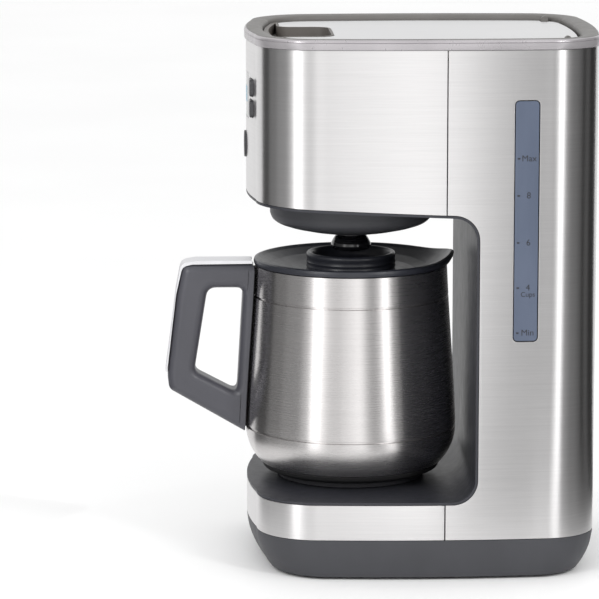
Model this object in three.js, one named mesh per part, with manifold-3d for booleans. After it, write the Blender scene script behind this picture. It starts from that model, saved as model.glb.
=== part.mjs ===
// Drip coffee maker with a thermal carafe: an assembly of separate pieces.
// Millimetres, +Z up, front towards -Y, water window on the +X side.
// Pieces are drawn with the housing centred on Y = 0; the group is then moved
// so that the origin lies under the middle of the whole footprint.
import * as THREE from 'three';
import Module from 'manifold-3d';
import { mergeVertices } from 'three/addons/utils/BufferGeometryUtils.js';

const wasm = await Module();
wasm.setup();

// ---------------------------------------------------------------- driving dimensions
const WIDTH = 192;            // housing across X, over the steel skins
const LENGTH = 234;           // housing along Y, over the steel skins
const HEIGHT = 360;           // top of the rim
const FRONT_RADIUS = 42;      // plan corner radius at the front
const REAR_RADIUS = 36;       // plan corner radius at the rear
const SIDE_CROWN = 3;         // outward bow of each side
const FRONT_CROWN = 5;        // outward bow of the front
const REAR_CROWN = 3;         // outward bow of the rear
const SKIN = 1.2;             // steel sheet
const GAP = 0.3;              // clearance between touching pieces
const SEAM_Y = 11.5;          // joint between front and rear skins
const STEEL_LOW = 27.5;       // lower edge of the steel
const RIM_LOW = 353;          // lower edge of the top rim
const RIM_PROUD = 1.2;        // rim overhang beyond the skins
const RIM_BAND = 12.5;        // width of the rim's top face
const COLUMN_Y = 31.5;        // front face of the water column
const TRAY_Z = 53;            // upper face of the tray
const CEILING_Z = 243;        // niche ceiling at the seam
const CEILING_SLOPE = 0.042;  // rise of the ceiling towards the front
const NICHE_RADIUS = 15;      // rounding of the niche's rear corners
const LINER = 3;              // wall of the dark liner
const TRIM = 1.6;             // liner's wall where its edge shows between the skins
const BREW_Y = -46;           // axis shared by basket, valve and carafe
const LID_TOP = 356;          // upper face of the top lid
const HINGE_Y = 92;           // lid hinge axis
const HINGE_Z = 357.5;
const PIN_RADIUS = 1.1;
const EAR_RADIUS = 2.4;       // the lid's hinge ears
const EAR = [69.4, 73.8];     // their faces, out from the middle
const PIN = [70.4, 81.6];     // ends of the hinge pins, out from the middle
const FRONT_REACH = -172.5;   // foremost point, on the carafe handle
const REAR_REACH = LENGTH / 2 + RIM_PROUD;

// ---------------------------------------------------------------- materials
const finish = (color, roughness, metalness) => () =>
  new THREE.MeshStandardMaterial({ color, roughness, metalness });
const STEEL = finish(0xc9c8c6, 0.32, 1.0);
const DARK = finish(0x55565b, 0.6, 0.0);
const SLATE = finish(0x45474f, 0.5, 0.0);
const TAUPE = finish(0x8b8886, 0.5, 0.1);
const BLACK = finish(0x101113, 0.35, 0.0);
const RUBBER = finish(0x1c1c1e, 0.85, 0.0);
const CLEAR = finish(0x6f7fa3, 0.15, 0.0);
const BOARD = finish(0x1f5a36, 0.6, 0.0);
const ALLOY = finish(0xa9abad, 0.45, 0.9);
const SILICONE = finish(0xd8d8d4, 0.6, 0.0);
const GOLD = finish(0xb89a55, 0.4, 0.9);

// ---------------------------------------------------------------- solids
function toSolid(geometry) {
  const bare = geometry.clone();
  bare.deleteAttribute('normal');
  bare.deleteAttribute('uv');
  const merged = mergeVertices(bare, 1e-4);
  const mesh = new wasm.Mesh({
    numProp: 3,
    vertProperties: new Float32Array(merged.attributes.position.array),
    triVerts: new Uint32Array(merged.index.array),
  });
  return new wasm.Manifold(mesh);
}

function toGeometry(solid) {
  const mesh = solid.getMesh();
  const geometry = new THREE.BufferGeometry();
  geometry.setAttribute('position', new THREE.BufferAttribute(mesh.vertProperties, 3));
  geometry.setIndex(new THREE.BufferAttribute(mesh.triVerts, 1));
  return geometry;
}

function block(x0, x1, y0, y1, z0, z1) {
  const geometry = new THREE.BoxGeometry(x1 - x0, y1 - y0, z1 - z0);
  geometry.translate((x0 + x1) / 2, (y0 + y1) / 2, (z0 + z1) / 2);
  return toSolid(geometry);
}

// A drum on the line from a to b.
function drum(radius, a, b, sides = 20) {
  const start = new THREE.Vector3(...a);
  const end = new THREE.Vector3(...b);
  const way = end.clone().sub(start);
  const geometry = new THREE.CylinderGeometry(radius, radius, way.length(), sides);
  const turn = new THREE.Quaternion().setFromUnitVectors(new THREE.Vector3(0, 1, 0),
    way.clone().normalize());
  geometry.applyQuaternion(turn);
  const middle = start.add(end).multiplyScalar(0.5);
  geometry.translate(middle.x, middle.y, middle.z);
  return toSolid(geometry);
}

// A turned piece about the vertical line through (0, y). Profile points are [radius, z].
function turned(profile, y, sides) {
  const points = profile.map(([radius, z]) => new THREE.Vector2(radius, z));
  if (points[0].x > 0) points.push(points[0].clone());
  const geometry = new THREE.LatheGeometry(points, sides);
  geometry.rotateX(Math.PI / 2);
  geometry.translate(0, y, 0);
  const solid = toSolid(geometry);
  return solid.volume() < 0 ? toSolid(flipped(geometry)) : solid;
}

function flipped(geometry) {
  const copy = geometry.clone();
  const index = copy.index.array;
  for (let i = 0; i < index.length; i += 3) [index[i], index[i + 1]] = [index[i + 1], index[i]];
  return copy;
}

// A shape whose outline always runs counter-clockwise, so that its holes are read rightly.
function shapeOf(points, holes = []) {
  const vectors = (list) => list.map(([a, b]) => new THREE.Vector2(a, b));
  const outline = vectors(points);
  if (THREE.ShapeUtils.isClockWise(outline)) outline.reverse();
  const shape = new THREE.Shape(outline);
  for (const hole of holes) shape.holes.push(new THREE.Path(vectors(hole)));
  return shape;
}

// An upright prism from an outline in X and Y.
function upright(points, z0, z1, holes = []) {
  const geometry = new THREE.ExtrudeGeometry(shapeOf(points, holes),
    { depth: z1 - z0, bevelEnabled: false, steps: 1 });
  geometry.translate(0, 0, z0);
  return toSolid(geometry);
}

// A prism across X from an outline in Y and Z.
function across(points, x0, x1, holes = []) {
  const geometry = new THREE.ExtrudeGeometry(shapeOf(points, holes),
    { depth: x1 - x0, bevelEnabled: false, steps: 1 });
  geometry.applyMatrix4(new THREE.Matrix4().set(0, 0, 1, x0, 1, 0, 0, 0, 0, 1, 0, 0, 0, 0, 0, 1));
  return toSolid(geometry);
}

// A prism along Y from an outline in X and Z.
function lengthwise(points, y0, y1) {
  const geometry = new THREE.ExtrudeGeometry(shapeOf(points),
    { depth: y1 - y0, bevelEnabled: false, steps: 1 });
  geometry.applyMatrix4(new THREE.Matrix4().set(1, 0, 0, 0, 0, 0, -1, y1, 0, 1, 0, 0, 0, 0, 0, 1));
  return toSolid(geometry);
}

// A closed body lofted through level rings of equal point counts; the ends are capped.
function lofted(rings) {
  const count = rings[0].length;
  const positions = [];
  const index = [];
  for (const ring of rings) for (const [x, y, z] of ring) positions.push(x, y, z);
  for (let level = 0; level + 1 < rings.length; level += 1) {
    for (let i = 0; i < count; i += 1) {
      const j = (i + 1) % count;
      const a = level * count;
      const b = a + count;
      index.push(a + i, a + j, b + j, a + i, b + j, b + i);
    }
  }
  const flat = (ring) => ring.map(([x, y]) => new THREE.Vector2(x, y));
  for (const [u, v, w] of THREE.ShapeUtils.triangulateShape(flat(rings[0]), [])) index.push(w, v, u);
  const last = (rings.length - 1) * count;
  for (const [u, v, w] of THREE.ShapeUtils.triangulateShape(flat(rings[rings.length - 1]), [])) {
    index.push(last + u, last + v, last + w);
  }
  const geometry = new THREE.BufferGeometry();
  geometry.setAttribute('position', new THREE.Float32BufferAttribute(positions, 3));
  geometry.setIndex(index);
  return toSolid(geometry);
}

// A round tube, with a bore, along a smooth line through points.
function piped(points, outer, bore, steps, sides = 10) {
  const line = new THREE.CatmullRomCurve3(points.map((p) => new THREE.Vector3(...p)), false, 'centripetal');
  const ring = (radius) => circle(radius, sides);
  const geometry = new THREE.ExtrudeGeometry(shapeOf(ring(outer), [ring(bore)]),
    { steps, extrudePath: line, bevelEnabled: false });
  return toSolid(geometry);
}

function circle(radius, sides, x = 0, y = 0) {
  return Array.from({ length: sides }, (_, i) => {
    const angle = (2 * Math.PI * i) / sides;
    return [x + radius * Math.cos(angle), y + radius * Math.sin(angle)];
  });
}

function arc(cx, cy, radius, from, to, steps) {
  return Array.from({ length: steps + 1 }, (_, i) => {
    const angle = ((from + ((to - from) * i) / steps) * Math.PI) / 180;
    return [cx + radius * Math.cos(angle), cy + radius * Math.sin(angle)];
  });
}

function roundedRect(x0, x1, y0, y1, r, steps = 4) {
  return [
    ...arc(x1 - r, y0 + r, r, -90, 0, steps),
    ...arc(x1 - r, y1 - r, r, 0, 90, steps),
    ...arc(x0 + r, y1 - r, r, 90, 180, steps),
    ...arc(x0 + r, y0 + r, r, 180, 270, steps),
  ];
}

// ---------------------------------------------------------------- housing outline
// Points between two corner ends, bowed outwards by `crown` at the middle.
function crowned(from, to, crown, outward, steps) {
  return Array.from({ length: steps - 1 }, (_, i) => {
    const t = (i + 1) / steps;
    const bow = crown * 4 * t * (1 - t);
    return [
      from[0] + (to[0] - from[0]) * t + outward[0] * bow,
      from[1] + (to[1] - from[1]) * t + outward[1] * bow,
    ];
  });
}

// The housing's plan, counter-clockwise, moved inwards by `inset` (outwards when negative).
function plan(inset, steps = 6) {
  const side = WIDTH / 2 - SIDE_CROWN - inset;
  const front = -(LENGTH / 2 - FRONT_CROWN - inset);
  const rear = LENGTH / 2 - REAR_CROWN - inset;
  const rf = FRONT_RADIUS - inset;
  const rr = REAR_RADIUS - inset;
  const frontRight = arc(side - rf, front + rf, rf, -90, 0, steps);
  const rearRight = arc(side - rr, rear - rr, rr, 0, 90, steps);
  const rearLeft = rearRight.map(([x, y]) => [-x, y]).reverse();
  const frontLeft = frontRight.map(([x, y]) => [-x, y]).reverse();
  return [
    ...frontRight,
    ...crowned(frontRight.at(-1), rearRight[0], SIDE_CROWN, [1, 0], 4),
    ...rearRight,
    ...crowned(rearRight.at(-1), rearLeft[0], REAR_CROWN, [0, 1], 4),
    ...rearLeft,
    ...crowned(rearLeft.at(-1), frontLeft[0], SIDE_CROWN, [-1, 0], 4),
    ...frontLeft,
    ...crowned(frontLeft.at(-1), frontRight[0], FRONT_CROWN, [0, -1], 4),
  ];
}

function planBody(inset, z0, z1) {
  return upright(plan(inset), z0, z1);
}

function planWall(inset, wall, z0, z1) {
  return upright(plan(inset), z0, z1, [plan(inset + wall)]);
}

// Height of the niche ceiling at a given Y.
const ceilingAt = (y) => CEILING_Z + (SEAM_Y - y) * CEILING_SLOPE;

// The C opening seen from the side, grown by `grow` all round.
function niche(grow) {
  const r = NICHE_RADIUS + grow;
  const rear = COLUMN_Y + grow;
  const low = TRAY_Z - grow;
  const high = ceilingAt(rear - r) + grow;
  const far = -LENGTH;
  return [
    [far, low],
    ...arc(rear - r, low + r, r, -90, 0, 5),
    ...arc(rear - r, high - r, r, 0, 90, 5),
    [far, ceilingAt(far) + grow],
  ];
}

function nicheBody(grow) {
  return across(niche(grow), -WIDTH, WIDTH);
}

const ahead = (y) => block(-WIDTH, WIDTH, -LENGTH, y, -10, HEIGHT + 10);
const behind = (y) => block(-WIDTH, WIDTH, y, LENGTH, -10, HEIGHT + 10);

// ---------------------------------------------------------------- controls on the head's front
const START = { x: 0, z: 281, radius: 9, front: -118.4 };
const BUTTON = { x: 36, width: 15, height: 11.5, front: -115.9, back: -107.5 };
const BUTTON_ROWS = [323, 309];
const LENS = { halfWidth: 24.5, z0: 301, z1: 331 };
const CLEARANCE = 0.4;

function buttonOutline(x, z, grow) {
  const halfWidth = BUTTON.width / 2 + grow;
  const halfHeight = BUTTON.height / 2 + grow;
  return roundedRect(x - halfWidth, x + halfWidth, z - halfHeight, z + halfHeight, 3 + grow, 3);
}

function lensOutline(grow) {
  const half = LENS.halfWidth + grow;
  return roundedRect(-half, half, LENS.z0 - grow, LENS.z1 + grow, 3 + grow, 3);
}

const buttonPlaces = BUTTON_ROWS.flatMap((z) => [-BUTTON.x, BUTTON.x].map((x) => [x, z]));

function controlHoles() {
  let holes = lengthwise(circle(START.radius + CLEARANCE, 20, START.x, START.z), -LENGTH, -90);
  holes = holes.add(lengthwise(lensOutline(GAP), -LENGTH, -90));
  for (const [x, z] of buttonPlaces) {
    holes = holes.add(lengthwise(buttonOutline(x, z, CLEARANCE), -LENGTH, -90));
  }
  return holes;
}

const startButton = () => lengthwise(circle(START.radius, 20, START.x, START.z), START.front, BUTTON.back);
const smallButton = (x, z) => lengthwise(buttonOutline(x, z, 0), BUTTON.front, BUTTON.back);

// ---------------------------------------------------------------- housing
const WINDOW = { y0: 56, y1: 71.5, z0: 161, z1: 319.5, radius: 2.5 };

function windowOutline(grow) {
  return roundedRect(WINDOW.y0 - grow, WINDOW.y1 + grow, WINDOW.z0 - grow, WINDOW.z1 + grow,
    WINDOW.radius + grow, 3);
}

const INLET = { x: 52, z: 16, halfWidth: 15, halfHeight: 9, recess: 6.5 };

function inletOutline(grow) {
  return roundedRect(INLET.x - INLET.halfWidth - grow, INLET.x + INLET.halfWidth + grow,
    INLET.z - INLET.halfHeight - grow, INLET.z + INLET.halfHeight + grow, 3, 3);
}

function rearSkin() {
  return planWall(0, SKIN, STEEL_LOW, RIM_LOW - GAP)
    .intersect(behind(SEAM_Y + GAP / 2))
    .subtract(nicheBody(TRIM + GAP))
    .subtract(across(windowOutline(GAP), 0, WIDTH));
}

function headSkin() {
  return planWall(0, SKIN, TRAY_Z + 50, RIM_LOW - GAP)
    .intersect(ahead(SEAM_Y - GAP / 2))
    .subtract(nicheBody(TRIM + GAP))
    .subtract(controlHoles());
}

function baseBand() {
  return planWall(0, SKIN, STEEL_LOW, TRAY_Z)
    .intersect(ahead(SEAM_Y - GAP / 2))
    .subtract(nicheBody(TRIM + GAP));
}

function levelWindow() {
  return across(windowOutline(0), WIDTH / 2 - 4.4, WIDTH).intersect(planBody(0.3, 100, HEIGHT));
}

const BASE_TOP = STEEL_LOW - GAP;
const BASE_BOTTOM = 2;
const BASE_WALL = 3;

// The base pan's outer plan at its lower edge is drawn in at both ends.
function basePlan(inset, level) {
  const t = (BASE_TOP - level) / (BASE_TOP - BASE_BOTTOM);
  const shrink = t * t * 10;
  return plan(inset).map(([x, y]) => [
    x * (1 - (0.25 * shrink) / (WIDTH / 2)),
    y * (1 - shrink / (LENGTH / 2)),
    level,
  ]);
}

function basePan() {
  const levels = [BASE_BOTTOM, 8, 15, BASE_TOP];
  const outer = lofted(levels.map((level) => basePlan(0, level)));
  const inner = lofted([
    basePlan(BASE_WALL, BASE_BOTTOM).map(([x, y]) => [x, y, BASE_BOTTOM - 1]),
    basePlan(BASE_WALL, BASE_BOTTOM),
    ...levels.slice(1).map((level) => basePlan(BASE_WALL, level)),
    basePlan(BASE_WALL, BASE_TOP).map(([x, y]) => [x, y, BASE_TOP + 1]),
  ]);
  return outer.subtract(inner).subtract(lengthwise(inletOutline(GAP), 60, LENGTH));
}

const PLATE_Z = [BASE_BOTTOM + 0.5, BASE_BOTTOM + 3];
const FOOT_PLACES = {
  front_left: [-66, -84], front_right: [66, -84], rear_left: [-66, 88], rear_right: [66, 88],
};
const SCREW_PLACES = {
  front_left: [-50, -90], front_right: [50, -90], rear_left: [-24, 92], rear_right: [24, 92],
};

function bottomPlate() {
  const outline = basePlan(BASE_WALL + GAP, PLATE_Z[0]).map(([x, y]) => [x * 0.995, y * 0.995]);
  let plate = upright(outline, PLATE_Z[0], PLATE_Z[1]);
  for (const [x, y] of Object.values(SCREW_PLACES)) {
    plate = plate.subtract(drum(2.1, [x, y, 0], [x, y, 20], 12));
  }
  return plate;
}

function foot([x, y]) {
  return turned([[0, 0], [8.5, 0], [9.5, 1], [9.5, PLATE_Z[0] - GAP], [0, PLATE_Z[0] - GAP]], 0, 20)
    .translate([x, y, 0]);
}

function screw([x, y]) {
  const head = turned([[0, PLATE_Z[1] + GAP], [3.6, PLATE_Z[1] + GAP], [3.6, PLATE_Z[1] + 2.3],
    [0, PLATE_Z[1] + 2.3]], 0, 14);
  return head.add(drum(1.7, [0, 0, PLATE_Z[0] + 0.4], [0, 0, PLATE_Z[1] + 1], 10)).translate([x, y, 0]);
}

// Dark liner: tray, column front wall and head ceiling in one C-shaped moulding.
const BASKET_RADIUS = 55;

function innerLiner() {
  const edge = nicheBody(TRIM).intersect(planBody(0, 0, HEIGHT));
  const wall = nicheBody(LINER).intersect(planBody(SKIN + GAP, 0, HEIGHT));
  return edge.add(wall).subtract(nicheBody(0))
    .subtract(drum(BASKET_RADIUS + 1.5, [0, BREW_Y, 200], [0, BREW_Y, 300], 32));
}

function topRim() {
  const band = upright(plan(-RIM_PROUD), RIM_LOW, HEIGHT - 1.5);
  const crest = lofted([
    plan(-RIM_PROUD).map(([x, y]) => [x, y, HEIGHT - 1.6]),
    plan(-RIM_PROUD + 0.8).map(([x, y]) => [x, y, HEIGHT - 0.5]),
    plan(-RIM_PROUD + 2.2).map(([x, y]) => [x, y, HEIGHT]),
  ]);
  const opening = upright(plan(RIM_BAND - RIM_PROUD), RIM_LOW - 20, HEIGHT + 5);
  const skirt = planWall(SKIN + GAP, 2, RIM_LOW - 5, RIM_LOW + 0.2);
  const rim = band.add(crest).add(skirt).subtract(opening);
  return rim.subtract(pinBore(-1)).subtract(pinBore(1));
}

// A drum on the lid's hinge axis, between two distances from the middle.
function onHinge(radius, side, [from, to]) {
  return drum(radius, [side * from, HINGE_Y, HINGE_Z], [side * to, HINGE_Y, HINGE_Z], 16);
}

const hingePin = (side) => onHinge(PIN_RADIUS, side, PIN);
const pinBore = (side) => onHinge(PIN_RADIUS + GAP, side, [PIN[0] - GAP, PIN[1] + GAP]);

// ---------------------------------------------------------------- water side
const TANK = { front: 46, rear: 111, z0: 130, z1: 336, wall: 2.5, inset: 6 };
const OUTLET = [-38, 78];
const SPIGOT_LENGTH = 12;

function waterTank() {
  const shell = planBody(TANK.inset, TANK.z0, TANK.z1)
    .intersect(block(-WIDTH, WIDTH, TANK.front, TANK.rear, 0, HEIGHT));
  const wall = TANK.wall;
  const hollow = planBody(TANK.inset + wall, TANK.z0 + wall, TANK.z1 + 5)
    .intersect(block(-WIDTH, WIDTH, TANK.front + wall, TANK.rear - wall, 0, HEIGHT + 20));
  const [x, y] = OUTLET;
  const spigot = drum(5, [x, y, TANK.z0 - SPIGOT_LENGTH], [x, y, TANK.z0 + 1], 14);
  const bore = drum(3, [x, y, TANK.z0 - SPIGOT_LENGTH - 8], [x, y, TANK.z0 + 10], 12);
  return shell.add(spigot).subtract(hollow).subtract(bore);
}

const HEATER = { z: 30, radius: 36, y: -30, legEnd: 6, halfWidth: 8, halfHeight: 7 };

function heater() {
  const { radius, y, z, legEnd } = HEATER;
  const path = [[-radius, legEnd], ...arc(0, y, radius, 180, 360, 14), [radius, legEnd]];
  const outer = path.map(([px, py]) => offsetFromBend(px, py, HEATER.halfWidth));
  const inner = path.map(([px, py]) => offsetFromBend(px, py, -HEATER.halfWidth)).reverse();
  return upright([...outer, ...inner], z - HEATER.halfHeight, z + HEATER.halfHeight);
}

// A point of the heater's U moved outwards from the bend's centre by `off`.
function offsetFromBend(x, y, off) {
  if (y > HEATER.y + 0.01) return [x + Math.sign(x) * off, y];
  const length = Math.hypot(x, y - HEATER.y);
  return [x * (1 + off / length), HEATER.y + (y - HEATER.y) * (1 + off / length)];
}

const HOSE = { outer: 4.2, bore: 2.6 };

function feedHose() {
  const [x, y] = OUTLET;
  const end = HEATER.legEnd + GAP;
  return piped([[x, y, TANK.z0 - SPIGOT_LENGTH - GAP], [x, y, 100], [x, y, 60], [x, y - 8, 36],
    [-HEATER.radius, y - 26, HEATER.z], [-HEATER.radius, 34, HEATER.z], [-HEATER.radius, end, HEATER.z]],
    HOSE.outer, HOSE.bore, 14, 8);
}

const RISER_Y = 40.5;
const RISER_TOP = 331;

function riserTube() {
  const end = HEATER.legEnd + GAP;
  return piped([[HEATER.radius, end, HEATER.z], [HEATER.radius, 22, HEATER.z], [28, 36, 34],
    [12, RISER_Y, 50], [0, RISER_Y, 80], [0, RISER_Y, 120], [0, RISER_Y, 250], [0, RISER_Y, RISER_TOP]],
    HOSE.outer, HOSE.bore, 16, 8);
}

function checkValve() {
  return turned([[0, 0], [2.1, 0], [2.1, 9], [0, 9]], 0, 12).translate([...OUTLET, TANK.z0 - 10]);
}

// A thermal switch lying on the heater's back.
function thermostat() {
  const top = HEATER.z + HEATER.halfHeight + GAP;
  return turned([[0, top], [8, top], [8, top + 5], [5, top + 7], [0, top + 7]], 0, 18)
    .translate([0, HEATER.y - HEATER.radius, 0]);
}

function thermalFuse() {
  const top = HEATER.z + HEATER.halfHeight + GAP + 2.5;
  return drum(2.5, [HEATER.radius, -30, top], [HEATER.radius, -10, top], 12);
}

// ---------------------------------------------------------------- brewing head
const VALVE_HOLE = 13.9;
const VALVE_LOW = 207.8;

function brewBasket() {
  const wall = 2.2;
  const flange = 251.7;
  const top = 308;
  const profile = [
    [VALVE_HOLE, 219.8], [20, 220.6], [32, 222.7], [43, 225.2], [50, 227.5], [53.6, 230.2], [BASKET_RADIUS, 234],
    [BASKET_RADIUS, flange], [59, flange], [59, flange + 2.5], [BASKET_RADIUS, flange + 2.5],
    [BASKET_RADIUS, top], [BASKET_RADIUS - wall, top], [BASKET_RADIUS - wall, 238],
    [51, 232.4], [42, 227.7], [31, 225], [19, 223], [VALVE_HOLE, 222.4],
  ];
  return turned(profile, BREW_Y, 30);
}

function permanentFilter() {
  const profile = [
    [0, 232], [27, 232], [49, 300], [51.5, 300], [51.5, 302], [47.6, 302], [26, 233.5], [0, 233.5],
  ];
  return turned(profile, BREW_Y, 24);
}

// A round knob whose narrower neck runs up through the basket's floor.
function dripValve() {
  const profile = [
    [0, VALVE_LOW], [9.4, VALVE_LOW], [12.4, VALVE_LOW + 1.1], [13.5, VALVE_LOW + 3], [13.4, VALVE_LOW + 5],
    [12.3, VALVE_LOW + 7.4], [10.6, VALVE_LOW + 9.8], [10.2, 220], [10.2, 224.4], [4, 224.4], [4, 226.5], [0, 226.5],
  ];
  return turned(profile, BREW_Y, 22);
}

function valveSpring() {
  return turned([[4.4, 224.8], [6, 224.8], [6, 231.6], [4.4, 231.6]], BREW_Y, 12);
}

function displayLens() {
  return lengthwise(lensOutline(0), -LENGTH, -112.8).intersect(planBody(0, 100, HEIGHT));
}

const displayModule = () => block(-22, 22, -112.4, -105.5, 304, 328);
const controlBoard = () => block(-52, 52, -104.5, -102.9, 268, 334);

function powerInlet() {
  return lengthwise(inletOutline(0), 88, LENGTH)
    .intersect(planBody(INLET.recess, 0, 60))
    .subtract(lengthwise(roundedRect(INLET.x - 10, INLET.x + 10, INLET.z - 6, INLET.z + 6, 3, 3), 96, LENGTH));
}

// ---------------------------------------------------------------- top lid
const LID_INSET = RIM_BAND - RIM_PROUD + 0.9;
const SCOOP = { halfWidth: 34, y1: -59, depth: 8, radius: 11, stripY: -93.6, flare: 8 };
const PANEL_MARGIN = 1.2;
const PANEL_THICK = 1.5;
const FRAME_LOW = 346;
const FRAME_WALL = 2.5;

// The grip's T shape from above: a strip along the lid's front edge and a scoop behind it.
function scoopOutline(grow) {
  const half = SCOOP.halfWidth + grow;
  const rear = SCOOP.y1 + grow;
  const strip = SCOOP.stripY + grow;
  const radius = SCOOP.radius + grow;
  const flare = SCOOP.flare - grow;
  const right = [
    [WIDTH, -LENGTH],
    [WIDTH, strip],
    ...arc(half + flare, strip + flare, flare, -90, -180, 5),
    ...arc(half - radius, rear - radius, radius, 0, 90, 5),
  ];
  return [...right, ...right.map(([x, y]) => [-x, y]).reverse()];
}

// An ear that carries one end of the lid's hinge, on a web up from the frame.
function lidEar(side) {
  const [x0, x1] = side > 0 ? EAR : EAR.map((x) => -x).reverse();
  return onHinge(EAR_RADIUS, side, EAR)
    .add(block(x0, x1, HINGE_Y - EAR_RADIUS, HINGE_Y + EAR_RADIUS, 352.4, HINGE_Z));
}

function lidFrame() {
  const top = LID_TOP - PANEL_THICK - GAP;
  const hollow = upright(plan(LID_INSET + FRAME_WALL), FRAME_LOW - 5, top - FRAME_WALL);
  return upright(plan(LID_INSET), FRAME_LOW, top).subtract(hollow)
    .add(lidEar(-1)).add(lidEar(1))
    .subtract(pinBore(-1)).subtract(pinBore(1))
    .subtract(upright(scoopOutline(GAP), LID_TOP - SCOOP.depth, HEIGHT));
}

function lidPanel() {
  const reach = EAR_RADIUS + 0.4;
  const middle = block(-EAR[0] + 0.4, EAR[0] - 0.4, 0, LENGTH, 340, HEIGHT);
  const earSlots = block(-WIDTH, WIDTH, HINGE_Y - reach, HINGE_Y + reach, 340, HEIGHT).subtract(middle);
  return upright(plan(LID_INSET + PANEL_MARGIN), LID_TOP - PANEL_THICK, LID_TOP)
    .subtract(earSlots)
    .subtract(upright(scoopOutline(GAP), 340, HEIGHT));
}

function fingerGrip() {
  const body = upright(scoopOutline(0), LID_TOP - SCOOP.depth, LID_TOP + 0.4)
    .intersect(planBody(LID_INSET, 300, HEIGHT));
  const hollow = upright(scoopOutline(-1.6), LID_TOP - SCOOP.depth + 1.6, HEIGHT)
    .intersect(planBody(LID_INSET + 3, 300, HEIGHT));
  return body.subtract(hollow);
}

function showerPlate() {
  const disc = turned([[0, 337], [44, 337], [44, 345.5], [0, 345.5]], BREW_Y, 28);
  return disc.add(block(-8, 8, BREW_Y, 46, 337, 345.5))
    .subtract(turned([[0, 338.6], [42, 338.6], [42, 344], [0, 344]], BREW_Y, 28))
    .subtract(block(-6, 6, BREW_Y, 44, 338.6, 344))
    .subtract(drum(3, [0, RISER_Y - 1, 330], [0, RISER_Y - 1, 340], 12))
    .subtract(showerHoles());
}

function showerHoles() {
  const holes = circle(26, 6).map(([x, y]) => drum(2.2, [x, BREW_Y + y, 330], [x, BREW_Y + y, 340], 8));
  return holes.reduce((all, hole) => all.add(hole));
}

// ---------------------------------------------------------------- carafe
const FOOT_Z = 57;
const SHELL_PROFILE = [
  [61.5, 63.3], [66.3, 69], [70, 77], [71.7, 85], [71.7, 93], [70, 124], [66.7, 173], [65.3, 198.4],
];
const SHELL_WALL = 1.2;
const SPOUT = { out: 4.4, up: 4, spread: 0.36 };

function carafeShell() {
  const inner = SHELL_PROFILE.map(([r, z]) => [r - SHELL_WALL, z]).reverse();
  return turned([...SHELL_PROFILE, ...inner], BREW_Y, 36);
}

function carafeLiner() {
  const profile = [
    [0, 67], [52, 67], [60, 76], [64, 92], [62, 130], [59.5, 165], [56, 176], [37, 186.5], [37, 190.4],
    [36, 190.4], [36, 186], [55, 175.5], [58.5, 164.6], [61, 130], [63, 92.4], [59.4, 77], [51.6, 68], [0, 68],
  ];
  return turned(profile, BREW_Y, 26);
}

function carafeFoot() {
  const profile = [[0, 62.9], [60.9, 62.9], [58.5, 59.5], [54, FOOT_Z], [44, FOOT_Z], [42, 60], [0, 60]];
  return turned(profile, BREW_Y, 32);
}

function carafeRest() {
  const low = TRAY_Z + GAP;
  const high = FOOT_Z - GAP;
  return turned([[0, low], [50, low], [50, high - 0.6], [49.4, high], [0, high]], BREW_Y, 32);
}

// The collar is a turned funnel whose rim swells into the pouring spout at the rear.
function carafeCollar() {
  const profile = [
    [64, 198.7], [65.9, 199.2], [66.2, 201], [65.6, 202.8], [63.5, 203.4], [61, 201.6], [46, 195.6], [31.4, 191.4],
    [31.4, 187.2], [35.6, 187.2], [35.6, 191], [38.4, 193.4], [50, 194.2], [62, 196],
  ].map(([r, z]) => new THREE.Vector2(r, z));
  profile.push(profile[0].clone());
  const geometry = new THREE.LatheGeometry(profile, 40);
  geometry.rotateX(Math.PI / 2);
  const place = geometry.attributes.position;
  for (let i = 0; i < place.count; i += 1) {
    const x = place.getX(i);
    const y = place.getY(i);
    const radius = Math.hypot(x, y);
    const angle = Math.atan2(x, y) / SPOUT.spread;
    const rim = THREE.MathUtils.smoothstep(radius, 55, 65);
    const lift = rim * Math.exp(-angle * angle) * THREE.MathUtils.smoothstep(place.getZ(i), 197, 203);
    const grow = 1 + (SPOUT.out * lift) / radius;
    place.setXYZ(i, x * grow, y * grow, place.getZ(i) + SPOUT.up * lift);
  }
  geometry.translate(0, BREW_Y, 0);
  const solid = toSolid(geometry);
  return solid.volume() < 0 ? toSolid(flipped(geometry)) : solid;
}

function carafeLid() {
  const profile = [
    [4, 194], [27, 194], [27, 188], [30.4, 188], [30.4, 204.5], [29.6, 207], [27.6, 207],
    [26, 205], [25.4, 199], [20, 196.6], [4, 195.6],
  ];
  return turned(profile, BREW_Y, 32);
}

const lidGasket = () => turned([[23, 187.5], [26.6, 187.5], [26.6, 190.5], [23, 190.5]], BREW_Y, 24);

// ---------------------------------------------------------------- carafe handle
const GRIP = { halfWidth: 12, inlayHalf: 9.5, strapHalf: 9 };
const HANDLE_OUTLINE = [
  [-112, 81.5], [-119.4, 84.6], [-168.6, 113.2], [-171.1, 115.6], [FRONT_REACH + 0.9, 120], [FRONT_REACH + 1.5, 126],
  [-164.6, 179], [-161.3, 191.4], [-158.6, 196.4], [-154, 199.2], [-112, 199.6],
];
const FINGER_HOLE = [
  [-127.4, 112.4], [-146, 121.7], [-150.4, 125.4], [-151.8, 130.6], [-150.3, 140.6], [-148.2, 153], [-145.2, 170.5],
  [-143.3, 178.4], [-141.6, 181.6], [-138.6, 183.2], [-124.4, 183.4], [-121, 182.2], [-119.8, 179], [-120.9, 152.8],
  [-122.6, 125.1], [-123.9, 114.8], [-125.4, 112.6],
];

// The carafe's body as a solid, grown by `grow`, which the handle's parts stay clear of.
function bodyKeepOut(grow) {
  const body = SHELL_PROFILE.map(([r, z]) => [r + grow, z]);
  const collar = [[66.2 + grow, 198.5], [66.4 + grow, 204.6], [0, 204.6]];
  return turned([[0, SHELL_PROFILE[0][1]], ...body, ...collar], BREW_Y, 72);
}

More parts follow.
